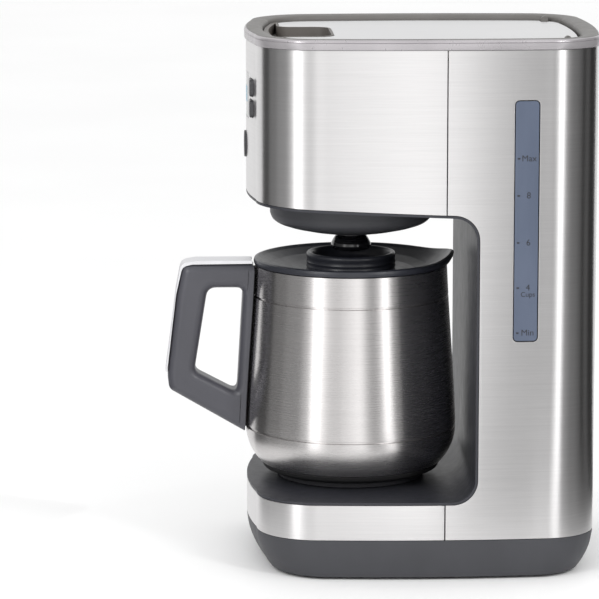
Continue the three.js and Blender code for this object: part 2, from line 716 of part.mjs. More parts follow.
function carafeHandle() {
  const grip = across(HANDLE_OUTLINE, -GRIP.halfWidth, GRIP.halfWidth, [FINGER_HOLE]);
  return largest(grip.subtract(bodyKeepOut(1.6)));
}

// Bright strip along the top of the handle and down its outer edge.
function handleInlay() {
  const outline = [
    [-112, 199.95], [-154, 199.55], [-159, 196.7], [-161.7, 191.5], [-165, 179],
    [FRONT_REACH + 1.1, 126], [FRONT_REACH, 126], [-166.6, 168], [-165.6, 180], [-163.4, 191.4], [-160.8, 197.4],
    [-156.6, 201], [-152, 202.2], [-112, 202.2],
  ];
  return across(outline, -GRIP.inlayHalf, GRIP.inlayHalf).subtract(bodyKeepOut(1.6));
}

// Thin seating strip between the handle's leg and the carafe's body.
function handleStrap() {
  const strip = across([[-130, 88], [-130, 196], [-100, 196], [-100, 88]], -GRIP.strapHalf, GRIP.strapHalf);
  return strip.intersect(bodyKeepOut(1.25)).subtract(bodyKeepOut(0.35));
}

function largest(solid) {
  return solid.decompose().sort((a, b) => b.volume() - a.volume())[0];
}

// ---------------------------------------------------------------- assembly
const PARTS = [
  ['base_pan', basePan(), DARK],
  ['bottom_plate', bottomPlate(), DARK],
  ...Object.entries(FOOT_PLACES).map(([where, place]) => [`foot_${where}`, foot(place), RUBBER]),
  ...Object.entries(SCREW_PLACES).map(([where, place]) => [`base_screw_${where}`, screw(place), ALLOY]),
  ['base_band', baseBand(), STEEL],
  ['rear_skin', rearSkin(), STEEL],
  ['head_skin', headSkin(), STEEL],
  ['top_rim', topRim(), TAUPE],
  ['inner_liner', innerLiner(), SLATE],
  ['carafe_rest', carafeRest(), RUBBER],
  ['water_tank', waterTank(), CLEAR],
  ['level_window', levelWindow(), CLEAR],
  ['check_valve', checkValve(), SILICONE],
  ['feed_hose', feedHose(), SILICONE],
  ['heater', heater(), ALLOY],
  ['thermostat', thermostat(), ALLOY],
  ['thermal_fuse', thermalFuse(), SILICONE],
  ['riser_tube', riserTube(), SILICONE],
  ['brew_basket', brewBasket(), DARK],
  ['permanent_filter', permanentFilter(), GOLD],
  ['display_lens', displayLens(), BLACK],
  ['display_module', displayModule(), BLACK],
  ['control_board', controlBoard(), BOARD],
  ['power_inlet', powerInlet(), BLACK],
  ['hinge_pin_left', hingePin(-1), STEEL],
  ['hinge_pin_right', hingePin(1), STEEL],
  ['valve_spring', valveSpring(), STEEL],
  ['drip_valve', dripValve(), BLACK],
  ['start_button', startButton(), BLACK],
  ...buttonPlaces.map(([x, z], i) => [`menu_button_${i + 1}`, smallButton(x, z), BLACK]),
  ['lid_frame', lidFrame(), SLATE],
  ['lid_panel', lidPanel(), STEEL],
  ['finger_grip', fingerGrip(), TAUPE],
  ['shower_plate', showerPlate(), DARK],
  ['carafe_shell', carafeShell(), STEEL],
  ['carafe_liner', carafeLiner(), STEEL],
  ['carafe_foot', carafeFoot(), BLACK],
  ['carafe_collar', carafeCollar(), SLATE],
  ['carafe_handle', carafeHandle(), SLATE],
  ['handle_inlay', handleInlay(), STEEL],
  ['handle_strap', handleStrap(), SLATE],
  ['carafe_lid', carafeLid(), BLACK],
  ['lid_gasket', lidGasket(), SILICONE],
];

const coffeeMaker = new THREE.Group();
for (const [name, solid, material] of PARTS) {
  const mesh = new THREE.Mesh(toGeometry(solid), material());
  mesh.name = name;
  coffeeMaker.add(mesh);
}
coffeeMaker.position.y = -(FRONT_REACH + REAR_REACH) / 2;
coffeeMaker.updateMatrixWorld(true);

export default coffeeMaker;
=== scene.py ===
import math

import bmesh
import bpy
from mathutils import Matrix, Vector


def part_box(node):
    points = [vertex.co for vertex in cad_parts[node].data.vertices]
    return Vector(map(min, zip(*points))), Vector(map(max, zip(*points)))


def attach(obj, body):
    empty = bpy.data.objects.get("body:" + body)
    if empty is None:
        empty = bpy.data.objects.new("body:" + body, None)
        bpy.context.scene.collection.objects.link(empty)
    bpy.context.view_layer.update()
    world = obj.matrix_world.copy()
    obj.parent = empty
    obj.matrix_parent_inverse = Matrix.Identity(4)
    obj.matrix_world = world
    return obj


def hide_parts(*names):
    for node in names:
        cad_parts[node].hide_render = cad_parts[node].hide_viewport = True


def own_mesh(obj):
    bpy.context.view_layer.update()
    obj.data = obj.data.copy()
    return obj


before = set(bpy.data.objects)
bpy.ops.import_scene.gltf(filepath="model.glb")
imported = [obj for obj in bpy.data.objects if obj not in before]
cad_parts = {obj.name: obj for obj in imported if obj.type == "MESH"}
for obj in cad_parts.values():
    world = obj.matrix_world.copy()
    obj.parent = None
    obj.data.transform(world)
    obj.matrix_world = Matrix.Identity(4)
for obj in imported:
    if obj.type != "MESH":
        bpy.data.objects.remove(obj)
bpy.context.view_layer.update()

# ---- the frame's places
# Pieces are drawn in millimetres about the middle of the housing, then moved to the frame.
MM = 0.001
rim_low, rim_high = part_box("top_rim")
HOUSE_Y = (rim_low.y + rim_high.y) / 2


def mm_box(node):
    """A CAD node's lowest and highest corners in housing millimetres."""
    lo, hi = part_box(node)
    shift = Vector((0, HOUSE_Y, 0))
    return (lo - shift) / MM, (hi - shift) / MM


def middle(node):
    lo, hi = mm_box(node)
    return (lo + hi) / 2


# ---- driving dimensions
RIM_PROUD = 1.2
WIDTH = mm_box("top_rim")[1].x * 2 - 2 * RIM_PROUD
LENGTH = mm_box("top_rim")[1].y * 2 - 2 * RIM_PROUD
HEIGHT = mm_box("top_rim")[1].z
FRONT_RADIUS = 42
REAR_RADIUS = 36
SIDE_CROWN = 3
FRONT_CROWN = 5
REAR_CROWN = 3
SKIN = 1.2
SEAM_Y = 11.5
STEEL_LOW = mm_box("rear_skin")[0].z
STEEL_TOP = mm_box("rear_skin")[1].z
RIM_LOW = 353
RIM_BAND = 12.5
COLUMN_Y = 31.5
TRAY_Z = 53
CEILING_Z = 243
CEILING_SLOPE = 0.042
NICHE_RADIUS = 15
LINER = 3
TRIM = 1.6
GAP = 0.3
BREW_Y = middle("carafe_lid").y
LID_TOP = mm_box("lid_panel")[1].z
FAR = 400


# ---- outlines
def arc(cx, cy, radius, start, end, steps):
    """Points on a round stretch, by angles in degrees."""
    points = []
    for i in range(steps + 1):
        angle = math.radians(start + (end - start) * i / steps)
        points.append((cx + radius * math.cos(angle), cy + radius * math.sin(angle)))
    return points


def circle(radius, steps, cx=0.0, cy=0.0):
    return arc(cx, cy, radius, 0, 360 * (steps - 1) / steps, steps - 1)


def rounded_rect(x0, x1, y0, y1, radius, steps=8):
    return (
        arc(x1 - radius, y0 + radius, radius, -90, 0, steps)
        + arc(x1 - radius, y1 - radius, radius, 0, 90, steps)
        + arc(x0 + radius, y1 - radius, radius, 90, 180, steps)
        + arc(x0 + radius, y0 + radius, radius, 180, 270, steps)
    )


def filleted(points, radius, steps=6):
    """Rounds the corners of a closed line of (a, b) or (a, b, own radius) points."""
    out = []
    count = len(points)
    for i, point in enumerate(points):
        own = point[2] if len(point) > 2 else radius
        here = Vector(point[:2])
        if own <= 0:
            out.append(tuple(here))
            continue
        before = Vector(points[i - 1][:2]) - here
        after = Vector(points[(i + 1) % count][:2]) - here
        turn = before.angle(after)
        reach = min(own / math.tan(turn / 2), before.length * 0.48, after.length * 0.48)
        start = here + before.normalized() * reach
        end = here + after.normalized() * reach
        for k in range(steps + 1):
            t = k / steps
            out.append(tuple(start * (1 - t) ** 2 + here * 2 * t * (1 - t) + end * t * t))
    return out


def crowned(start, end, crown, outward, steps):
    """Points between two corners, bowed outwards by `crown` at the middle."""
    points = []
    for i in range(1, steps):
        t = i / steps
        bow = crown * 4 * t * (1 - t)
        x = start[0] + (end[0] - start[0]) * t + outward[0] * bow
        y = start[1] + (end[1] - start[1]) * t + outward[1] * bow
        points.append((x, y))
    return points


def plan(inset, corner_steps=24, side_steps=36):
    """The housing's outline from above, moved inwards by `inset`."""
    side = WIDTH / 2 - SIDE_CROWN - inset
    front = -(LENGTH / 2 - FRONT_CROWN - inset)
    rear = LENGTH / 2 - REAR_CROWN - inset
    rf = FRONT_RADIUS - inset
    rr = REAR_RADIUS - inset
    front_right = arc(side - rf, front + rf, rf, -90, 0, corner_steps)
    rear_right = arc(side - rr, rear - rr, rr, 0, 90, corner_steps)
    rear_left = [(-x, y) for x, y in reversed(rear_right)]
    front_left = [(-x, y) for x, y in reversed(front_right)]
    return (
        front_right
        + crowned(front_right[-1], rear_right[0], SIDE_CROWN, (1, 0), side_steps)
        + rear_right
        + crowned(rear_right[-1], rear_left[0], REAR_CROWN, (0, 1), side_steps)
        + rear_left
        + crowned(rear_left[-1], front_left[0], SIDE_CROWN, (-1, 0), side_steps)
        + front_left
        + crowned(front_left[-1], front_right[0], FRONT_CROWN, (0, -1), side_steps)
    )


def ceiling_at(y):
    return CEILING_Z + (SEAM_Y - y) * CEILING_SLOPE


def niche(grow, steps=14):
    """The C opening seen from the side as (y, z) points, grown by `grow`."""
    radius = NICHE_RADIUS + grow
    rear = COLUMN_Y + grow
    low = TRAY_Z - grow
    high = ceiling_at(rear - radius) + grow
    return (
        [(-FAR, low)]
        + arc(rear - radius, low + radius, radius, -90, 0, steps)
        + arc(rear - radius, high - radius, radius, 0, 90, steps)
        + [(-FAR, ceiling_at(-FAR) + grow)]
    )


# ---- meshes
def linked(name, data):
    """A new object in the scene."""
    obj = bpy.data.objects.new(name, data)
    bpy.context.scene.collection.objects.link(obj)
    return obj


def mesh_object(name, points, faces):
    """A mesh object from housing millimetres, its faces turned outwards."""
    mesh = bpy.data.meshes.new(name)
    mesh.from_pydata([(x * MM, y * MM + HOUSE_Y, z * MM) for x, y, z in points], [], faces)
    tidy = bmesh.new()
    tidy.from_mesh(mesh)
    bmesh.ops.remove_doubles(tidy, verts=tidy.verts, dist=1e-7)
    bmesh.ops.recalc_face_normals(tidy, faces=tidy.faces)
    tidy.to_mesh(mesh)
    tidy.free()
    return linked(name, mesh)


def loft(name, rings, closed=False):
    """Joins rings of equal counts; closed rings meet end to end, others are capped."""
    count = len(rings[0])
    points = [p for ring in rings for p in ring]
    faces = []
    levels = len(rings)
    for level in range(levels if closed else levels - 1):
        a = level * count
        b = ((level + 1) % levels) * count
        for i in range(count):
            j = (i + 1) % count
            faces.append((a + i, a + j, b + j, b + i))
    if not closed:
        faces.append(tuple(reversed(range(count))))
        faces.append(tuple(range((levels - 1) * count, levels * count)))
    return mesh_object(name, points, faces)


def ring_at(outline, z):
    return [(x, y, z) for x, y in outline]


def upright(name, outline, z0, z1):
    return loft(name, [ring_at(outline, z0), ring_at(outline, z1)])


def across(name, outline, x0, x1):
    """A prism along X from (y, z) points."""
    return loft(name, [[(x, y, z) for y, z in outline] for x in (x0, x1)])


def lengthwise(name, outline, y0, y1):
    """A prism along Y from (x, z) points."""
    return loft(name, [[(x, y, z) for x, z in outline] for y in (y0, y1)])


def block(x0, x1, y0, y1, z0, z1):
    corners = [(x0, y0), (x1, y0), (x1, y1), (x0, y1)]
    return upright("block", corners, z0, z1)


def turned(name, profile, sides=96, y=None, x=0.0, shape=None):
    """A turned piece from a closed (radius, z) profile; `shape` may move each point."""
    cy = BREW_Y if y is None else y
    rings = []
    for k in range(sides):
        angle = 2 * math.pi * k / sides
        ring = []
        for radius, z in profile:
            r, h = shape(radius, z, angle) if shape else (radius, z)
            ring.append((x + r * math.sin(angle), cy + r * math.cos(angle), h))
        rings.append(ring)
    return loft(name, rings, closed=True)


def bake(obj):
    """Applies the object's modifiers to its mesh."""
    bpy.context.view_layer.update()
    graph = bpy.context.evaluated_depsgraph_get()
    mesh = bpy.data.meshes.new_from_object(obj.evaluated_get(graph))
    obj.modifiers.clear()
    obj.data = mesh
    return obj


def combine(obj, other, operation):
    modifier = obj.modifiers.new("combine", "BOOLEAN")
    modifier.operation = operation
    modifier.solver = "EXACT"
    modifier.object = other
    bake(obj)
    bpy.data.objects.remove(other)
    return obj


def cut(obj, *cutters):
    for cutter in cutters:
        combine(obj, cutter, "DIFFERENCE")
    return obj


def keep(obj, other):
    return combine(obj, other, "INTERSECT")


def add(obj, other):
    return combine(obj, other, "UNION")


def soften(obj, width, segments=3, angle=35):
    """Rounds every edge sharper than `angle` by `width` millimetres."""
    modifier = obj.modifiers.new("soften", "BEVEL")
    modifier.width = width * MM
    modifier.segments = segments
    modifier.limit_method = "ANGLE"
    modifier.angle_limit = math.radians(angle)
    modifier.use_clamp_overlap = True
    modifier.miter_outer = "MITER_ARC"
    return bake(obj)


def shade(obj, angle=32, weighted=True):
    """Smooth shading; weighted, it stays flat on the large faces beside a rounded edge."""
    for face in obj.data.polygons:
        face.use_smooth = True
    obj.data.set_sharp_from_angle(angle=math.radians(angle))
    if not weighted:
        return obj
    modifier = obj.modifiers.new("weighted", "WEIGHTED_NORMAL")
    modifier.keep_sharp = True
    return bake(obj)


def plan_body(inset, z0, z1):
    return upright("plan_body", plan(inset), z0, z1)


def niche_body(grow):
    return across("niche_body", niche(grow), -FAR, FAR)


def ahead_of(y):
    return block(-FAR, FAR, -FAR, y, -50, 500)


def behind_of(y):
    return block(-FAR, FAR, y, FAR, -50, 500)


# ---- material helpers
def node_material(name):
    material = bpy.data.materials.new(name)
    material.use_nodes = True
    nodes = material.node_tree.nodes
    return material, nodes, material.node_tree.links, nodes["Principled BSDF"]


def settle(node, values):
    """Sets a node's own input sockets by name."""
    for socket, value in values.items():
        node.inputs[socket].default_value = value


def stretched_noise(nodes, links, scale, detail=4.0, roughness=0.6):
    """Noise over object space, stretched by `scale` along X, Y and Z."""
    place = nodes.new("ShaderNodeTexCoord")
    mapping = nodes.new("ShaderNodeMapping")
    settle(mapping, {"Scale": scale})
    noise = nodes.new("ShaderNodeTexNoise")
    settle(noise, {"Scale": 1.0, "Detail": detail, "Roughness": roughness})
    links.new(place.outputs["Object"], mapping.inputs["Vector"])
    links.new(mapping.outputs["Vector"], noise.inputs["Vector"])
    return noise.outputs["Fac"]


def blended(nodes, links, factor, low, high, low_at=0.3, high_at=0.7):
    """A colour that runs from `low` to `high` with a factor."""
    ramp = nodes.new("ShaderNodeValToRGB")
    for stop, position, color in zip(ramp.color_ramp.elements, (low_at, high_at), (low, high)):
        stop.position = position
        stop.color = (*color, 1)
    links.new(factor, ramp.inputs["Fac"])
    return ramp.outputs["Color"]


def multiplied(nodes, links, first, second):
    mix = nodes.new("ShaderNodeMix")
    mix.data_type = "RGBA"
    mix.blend_type = "MULTIPLY"
    settle(mix, {"Factor": 1.0})
    links.new(first, mix.inputs["A"])
    links.new(second, mix.inputs["B"])
    return mix.outputs["Result"]


def ranged(nodes, links, value, low, high):
    """A number that runs from `low` to `high` over the middle half of a noise."""
    span = nodes.new("ShaderNodeMapRange")
    settle(span, {"From Min": 0.25, "From Max": 0.75, "To Min": low, "To Max": high})
    links.new(value, span.inputs["Value"])
    return span.outputs["Result"]


def bumped(nodes, links, height, shader, strength, distance):
    bump = nodes.new("ShaderNodeBump")
    settle(bump, {"Strength": strength, "Distance": distance})
    links.new(height, bump.inputs["Height"])
    links.new(bump.outputs["Normal"], shader.inputs["Normal"])


def scaled(color, factor):
    return tuple(min(1.0, c * factor) for c in color)


GRAIN_LONG = 9.0
GRAIN_FINE = 2600.0
GRAIN_BROAD = 520.0
STEEL_ANISOTROPY = 0.8


def brushed_steel(name, tint, rough, grain_axis="Z", tangent_axis="Z", contrast=0.08):
    """Brushed sheet whose scratches are fine across `grain_axis` and long the other ways."""
    material, nodes, links, shader = node_material(name)
    fine = [GRAIN_LONG * 3] * 3
    broad = [GRAIN_LONG] * 3
    axis = "XYZ".index(grain_axis)
    fine[axis] = GRAIN_FINE
    broad[axis] = GRAIN_BROAD
    scratches = stretched_noise(nodes, links, fine, 6.0, 0.75)
    bands = stretched_noise(nodes, links, broad, 3.0, 0.5)
    smudges = stretched_noise(nodes, links, (14, 14, 14), 2.0, 0.5)
    streaks = blended(nodes, links, scratches, scaled(tint, 1 - contrast), scaled(tint, 1 + contrast))
    waves = blended(nodes, links, bands, (0.96, 0.96, 0.96), (1, 1, 1))
    links.new(multiplied(nodes, links, streaks, waves), shader.inputs["Base Color"])
    combined = nodes.new("ShaderNodeMath")
    combined.operation = "MULTIPLY_ADD"
    combined.inputs[1].default_value = 0.6
    links.new(scratches, combined.inputs[0])
    links.new(ranged(nodes, links, smudges, 0.1, 0.3), combined.inputs[2])
    roughness = ranged(nodes, links, combined.outputs[0], rough - 0.03, rough + 0.04)
    links.new(roughness, shader.inputs["Roughness"])
    bumped(nodes, links, scratches, shader, 0.05, 0.00003)
    settle(shader, {"Metallic": 1.0, "Anisotropic": STEEL_ANISOTROPY, "Anisotropic Rotation": 0.25})
    tangent = nodes.new("ShaderNodeTangent")
    tangent.direction_type = "RADIAL"
    tangent.axis = tangent_axis
    links.new(tangent.outputs["Tangent"], shader.inputs["Tangent"])
    return material


def moulded_plastic(name, color, rough, grain=0.12, coat=0.0, specular=0.5, metallic=0.0):
    """Moulded plastic: fine spark-eroded grain, slight flow marks and handling sheen."""
    material, nodes, links, shader = node_material(name)
    grit = stretched_noise(nodes, links, (2400, 2400, 2400), 2.0, 0.6)
    flow = stretched_noise(nodes, links, (22, 30, 18), 3.0, 0.55)
    wear = stretched_noise(nodes, links, (160, 160, 90), 5.0, 0.7)
    base = blended(nodes, links, flow, scaled(color, 0.92), scaled(color, 1.08))
    speck = blended(nodes, links, grit, (0.9, 0.9, 0.9), (1, 1, 1))
    links.new(multiplied(nodes, links, base, speck), shader.inputs["Base Color"])
    links.new(ranged(nodes, links, wear, rough - 0.06, rough + 0.06), shader.inputs["Roughness"])
    bumped(nodes, links, grit, shader, grain, 0.00008)
    settle(shader, {"Specular IOR Level": specular, "Metallic": metallic})
    settle(shader, {"Coat Weight": coat, "Coat Roughness": 0.15})
    return material


def window_material():
    """Tinted translucent plastic with soft mottling from the wall behind it."""
    material, nodes, links, shader = node_material("window_tint")
    mottling = stretched_noise(nodes, links, (40, 40, 9), 3.0, 0.5)
    dust = stretched_noise(nodes, links, (1500, 1500, 1500), 2.0, 0.6)
    color = blended(nodes, links, mottling, (0.072, 0.092, 0.138), (0.096, 0.118, 0.172))
    links.new(color, shader.inputs["Base Color"])
    links.new(ranged(nodes, links, dust, 0.16, 0.26), shader.inputs["Roughness"])
    bumped(nodes, links, dust, shader, 0.05, 0.00005)
    settle(shader, {"Coat Weight": 0.1})
    return material


def tank_material():
    """Smoky translucent moulding."""
    material, nodes, links, shader = node_material("tank_smoke")
    clouds = stretched_noise(nodes, links, (30, 30, 14), 3.0, 0.5)
    color = blended(nodes, links, clouds, (0.34, 0.37, 0.41), (0.44, 0.47, 0.51))
    links.new(color, shader.inputs["Base Color"])
    links.new(ranged(nodes, links, clouds, 0.2, 0.32), shader.inputs["Roughness"])
    settle(shader, {"Transmission Weight": 0.35, "IOR": 1.5})
    return material


def mesh_screen():
    """Gold-toned metal screen, pierced by a fine cell pattern."""
    material, nodes, links, shader = node_material("gold_screen")
    place = nodes.new("ShaderNodeTexCoord")
    weave = nodes.new("ShaderNodeTexVoronoi")
    weave.feature = "F1"
    settle(weave, {"Scale": 1400.0})
    links.new(place.outputs["Object"], weave.inputs["Vector"])
    holes = weave.outputs["Distance"]
    color = blended(nodes, links, holes, (0.62, 0.44, 0.17), (0.20, 0.13, 0.05), 0.2, 0.6)
    links.new(color, shader.inputs["Base Color"])
    settle(shader, {"Metallic": 1.0})
    links.new(ranged(nodes, links, holes, 0.3, 0.45), shader.inputs["Roughness"])
    bumped(nodes, links, holes, shader, 0.5, 0.0002)
    return material


def circuit_material():
    """Solder mask with copper runs showing through."""
    material, nodes, links, shader = node_material("circuit_mask")
    runs = stretched_noise(nodes, links, (240, 240, 240), 1.0, 0.4)
    color = blended(nodes, links, runs, (0.006, 0.026, 0.016), (0.014, 0.05, 0.03), 0.45, 0.55)
    links.new(color, shader.inputs["Base Color"])
    links.new(ranged(nodes, links, runs, 0.3, 0.45), shader.inputs["Roughness"])
    return material


def cast_alloy():
    """Pale cast metal with a coarse skin, for the heater and the screws."""
    material, nodes, links, shader = node_material("cast_alloy")
    grit = stretched_noise(nodes, links, (900, 900, 900), 4.0, 0.7)
    color = blended(nodes, links, grit, (0.48, 0.48, 0.49), (0.62, 0.62, 0.63))
    links.new(color, shader.inputs["Base Color"])
    settle(shader, {"Metallic": 1.0})
    links.new(ranged(nodes, links, grit, 0.4, 0.6), shader.inputs["Roughness"])
    bumped(nodes, links, grit, shader, 0.3, 0.0002)
    return material


STEEL = brushed_steel("steel_wrap", (0.70, 0.69, 0.69), 0.30, contrast=0.05)
STEEL_TOP_PANEL = brushed_steel("steel_lid", (0.72, 0.72, 0.725), 0.38, "X", "X", contrast=0.05)
STEEL_CARAFE = brushed_steel("steel_carafe", (0.66, 0.64, 0.635), 0.27, contrast=0.04)
STEEL_INLAY = brushed_steel("steel_inlay", (0.78, 0.78, 0.80), 0.3, "X", "X")
STEEL_INNER = brushed_steel("steel_inner", (0.6, 0.6, 0.6), 0.35)
BASE_DARK = moulded_plastic("base_dark", (0.053, 0.054, 0.061), 0.5, specular=0.35)
SLATE = moulded_plastic("slate", (0.034, 0.035, 0.043), 0.42, specular=0.35)
COLLAR = moulded_plastic("collar_slate", (0.023, 0.025, 0.034), 0.34)
GRIP = moulded_plastic("grip_slate", (0.066, 0.066, 0.079), 0.36)
TAUPE = moulded_plastic("rim_taupe", (0.150, 0.143, 0.136), 0.42, specular=0.3)
# The rim's taupe painted much paler for its outer band: a painted sheen on the rim's lit side face.
RIM_SIDE_SHEEN = moulded_plastic("rim_side_painted_sheen", (0.44, 0.42, 0.435), 0.3, grain=0.0, metallic=0.5)
# A darker taupe than the rim's: the grip's own taupe darkened as painted shade for the scoop's hollow.
SHADED_TAUPE = moulded_plastic("taupe_painted_shade", (0.13, 0.118, 0.108), 0.45)
GLOSS_BLACK = moulded_plastic("gloss_black", (0.008, 0.008, 0.010), 0.1, grain=0.0, coat=0.5)
KEY_GREY = moulded_plastic("key_grey", (0.045, 0.045, 0.05), 0.3, grain=0.05)
RUBBER = moulded_plastic("rubber_black", (0.016, 0.016, 0.017), 0.7, grain=0.3, specular=0.3)
REST = moulded_plastic("rest_slate", (0.028, 0.028, 0.033), 0.6, grain=0.3, specular=0.3)
SILICONE = moulded_plastic("silicone_milky", (0.55, 0.55, 0.53), 0.45)
INK = moulded_plastic("scale_ink", (0.012, 0.013, 0.02), 0.5)
SEGMENT = moulded_plastic("display_segment", (0.10, 0.42, 0.62), 0.4)
WINDOW = window_material()
TANK = tank_material()
SCREEN = mesh_screen()
CIRCUIT = circuit_material()
ALLOY = cast_alloy()


# ---- finishing a piece
def dress(obj, body, slot, material, *nodes, angle=32, weighted=True):
    """Finishes a piece: its material, shading, body and the CAD nodes it stands for. The `slot` argument is
    not used.
    """
    obj.data.materials.clear()
    obj.data.materials.append(material)
    shade(obj, angle, weighted)
    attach(obj, body)
    if nodes:
        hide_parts(*nodes)
    return obj


def paint_node(material, *names):
    """Gives CAD nodes that stay a finished material."""
    for name in names:
        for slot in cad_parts[name].material_slots:
            slot.material = material


# ---- steel skins
SEAM_GAP = 0.35


def skin_wall(name, z0, z1):
    corners = [(0, z0), (0, z1), (SKIN, z1), (SKIN, z0)]
    return loft(name, [ring_at(plan(inset), z) for inset, z in corners], closed=True)


WINDOW_LOW, WINDOW_HIGH = mm_box("level_window")
WINDOW_RADIUS = 2.5
WINDOW_CLEARANCE = 0.6


def window_outline(grow):
    lo, hi = WINDOW_LOW, WINDOW_HIGH
    return rounded_rect(lo.y - grow, hi.y + grow, lo.z - grow, hi.z + grow, WINDOW_RADIUS + grow)


def key_outline(node, grow, radius):
    lo, hi = mm_box(node)
    return rounded_rect(lo.x - grow, hi.x + grow, lo.z - grow, hi.z + grow, radius + grow)


KEYS = ["menu_button_1", "menu_button_2", "menu_button_3", "menu_button_4"]
KEY_RADIUS = 3
KEY_CLEARANCE = 0.4
LENS_RADIUS = 3
LENS_CLEARANCE = 0.3
CONTROLS_REAR = -90
HEAD_SKIN_LOW = TRAY_Z + 50


def start_outline(grow):
    centre = middle("start_button")
    lo, hi = mm_box("start_button")
    return circle((hi.x - lo.x) / 2 + grow, 48, centre.x, centre.z)


def make_rear_skin():
    skin = skin_wall("rear_skin_sheet", STEEL_LOW, STEEL_TOP)
    cut(skin, ahead_of(SEAM_Y + SEAM_GAP), niche_body(TRIM + GAP),
        across("window_cut", window_outline(WINDOW_CLEARANCE), 0, FAR))
    soften(skin, 0.3, 2)
    dress(skin, "housing", "brushed_steel", STEEL, "rear_skin")


def make_head_skin():
    skin = skin_wall("head_skin_sheet", HEAD_SKIN_LOW, STEEL_TOP)
    cut(skin, behind_of(SEAM_Y - SEAM_GAP), niche_body(TRIM + GAP))
    openings = [start_outline(KEY_CLEARANCE), key_outline("display_lens", LENS_CLEARANCE, LENS_RADIUS)]
    openings += [key_outline(key, KEY_CLEARANCE, KEY_RADIUS) for key in KEYS]
    for opening in openings:
        cut(skin, lengthwise("opening_cut", opening, -FAR, CONTROLS_REAR))
    soften(skin, 0.3, 2)
    dress(skin, "housing", "brushed_steel", STEEL, "head_skin")


def make_base_band():
    band = skin_wall("base_band_sheet", STEEL_LOW, TRAY_Z - TRIM - GAP)
    cut(band, behind_of(SEAM_Y - SEAM_GAP))
    soften(band, 0.3, 2)
    dress(band, "housing", "brushed_steel", STEEL, "base_band")


# ---- plastic housing
BASE_TOP = mm_box("base_pan")[1].z
BASE_BOTTOM = mm_box("base_pan")[0].z
BASE_TAPER = 10
BASE_SIDE_SHARE = 0.25
BASE_WALL = 3
BASE_LEVELS = 12
INLET_RADIUS = 2.7
INLET_FRONT = 60
BASKET_OPENING = 56.5


def base_ring(inset, z):
    """The base pan's outline at a height; both ends are drawn in towards the bottom."""
    t = (BASE_TOP - z) / (BASE_TOP - BASE_BOTTOM)
    shrink = t * t * BASE_TAPER
    sx = 1 - BASE_SIDE_SHARE * shrink / (WIDTH / 2)
    sy = 1 - shrink / (LENGTH / 2)
    return [(x * sx, y * sy, z) for x, y in plan(inset)]


def make_base_pan():
    depth = BASE_TOP - BASE_BOTTOM
    levels = [BASE_BOTTOM + depth * i / BASE_LEVELS for i in range(BASE_LEVELS + 1)]
    outer = [base_ring(0.05, z) for z in levels]
    inner = [base_ring(BASE_WALL, z) for z in reversed(levels)]
    pan = loft("base_pan_moulding", outer + inner, closed=True)
    cut(pan, lengthwise("inlet_cut", key_outline("power_inlet", GAP, INLET_RADIUS), INLET_FRONT, FAR))
    soften(pan, 0.8, 3)
    dress(pan, "housing", "dark_plastic", BASE_DARK, "base_pan", angle=40)


def make_liner():
    liner = keep(niche_body(TRIM), plan_body(0.02, 0, HEIGHT))
    liner.name = "inner_liner_moulding"
    add(liner, keep(niche_body(LINER), plan_body(SKIN + GAP, 0, HEIGHT)))
    cut(liner, niche_body(0))
    cut(liner, upright("basket_cut", circle(BASKET_OPENING, 96, 0, BREW_Y), 200, 300))
    soften(liner, 0.5, 3)
    dress(liner, "housing", "slate_plastic", SLATE, "inner_liner")


TRIM_DEPTH = 0.2
RIM_INNER = RIM_BAND - RIM_PROUD
RIM_SKIRT = 3.5


def make_rim():
    """The grey rim with its rolled inner edge, and a grooved band round its outer face whose paler colour
    is a painted sheen for the lit side face.
    """
    profile = [
        (TRIM_DEPTH + 0.1, RIM_LOW), (TRIM_DEPTH + 0.1, RIM_LOW + 6.8), (-RIM_PROUD + 2.8, HEIGHT),
        (-RIM_PROUD + 6, HEIGHT - 0.05), (RIM_INNER - 2.5, HEIGHT - 0.5), (RIM_INNER - 1, HEIGHT - 1),
        (RIM_INNER - 0.25, HEIGHT - 1.8), (RIM_INNER, HEIGHT - 3), (RIM_INNER, RIM_LOW),
        (RIM_SKIRT, RIM_LOW), (RIM_SKIRT, RIM_LOW - 5), (SKIN + GAP, RIM_LOW - 5), (SKIN + GAP, RIM_LOW),
    ]
    rim = loft("top_rim_moulding", [ring_at(plan(inset), z) for inset, z in profile], closed=True)
    dress(rim, "housing", "rim_plastic", TAUPE, "top_rim", angle=50, weighted=False)
    section = [
        (-RIM_PROUD + 0.3, RIM_LOW), (-RIM_PROUD, RIM_LOW + 0.3), (-RIM_PROUD, RIM_LOW + 4.4),
        (-RIM_PROUD + 0.4, RIM_LOW + 4.65), (-RIM_PROUD + 0.05, RIM_LOW + 4.95),
        (-RIM_PROUD + 0.2, RIM_LOW + 5.7), (-RIM_PROUD + 0.7, RIM_LOW + 6.3),
        (TRIM_DEPTH, RIM_LOW + 6.7), (TRIM_DEPTH, RIM_LOW),
    ]
    # The outer band takes the paler colour, a painted sheen on the rim's side face.
    trim = loft("top_rim_sheen_band", [ring_at(plan(inset), z) for inset, z in section], closed=True)
    dress(trim, "housing", "rim_plastic", RIM_SIDE_SHEEN, angle=50, weighted=False)


# ---- controls
# The hollow in the start key's face, as (radius, depth) points.
START_DIMPLE = [(0, -3), (6.5, -3), (6.5, -0.1), (5.6, 0.35), (3.5, 0.6), (0, 0.7)]


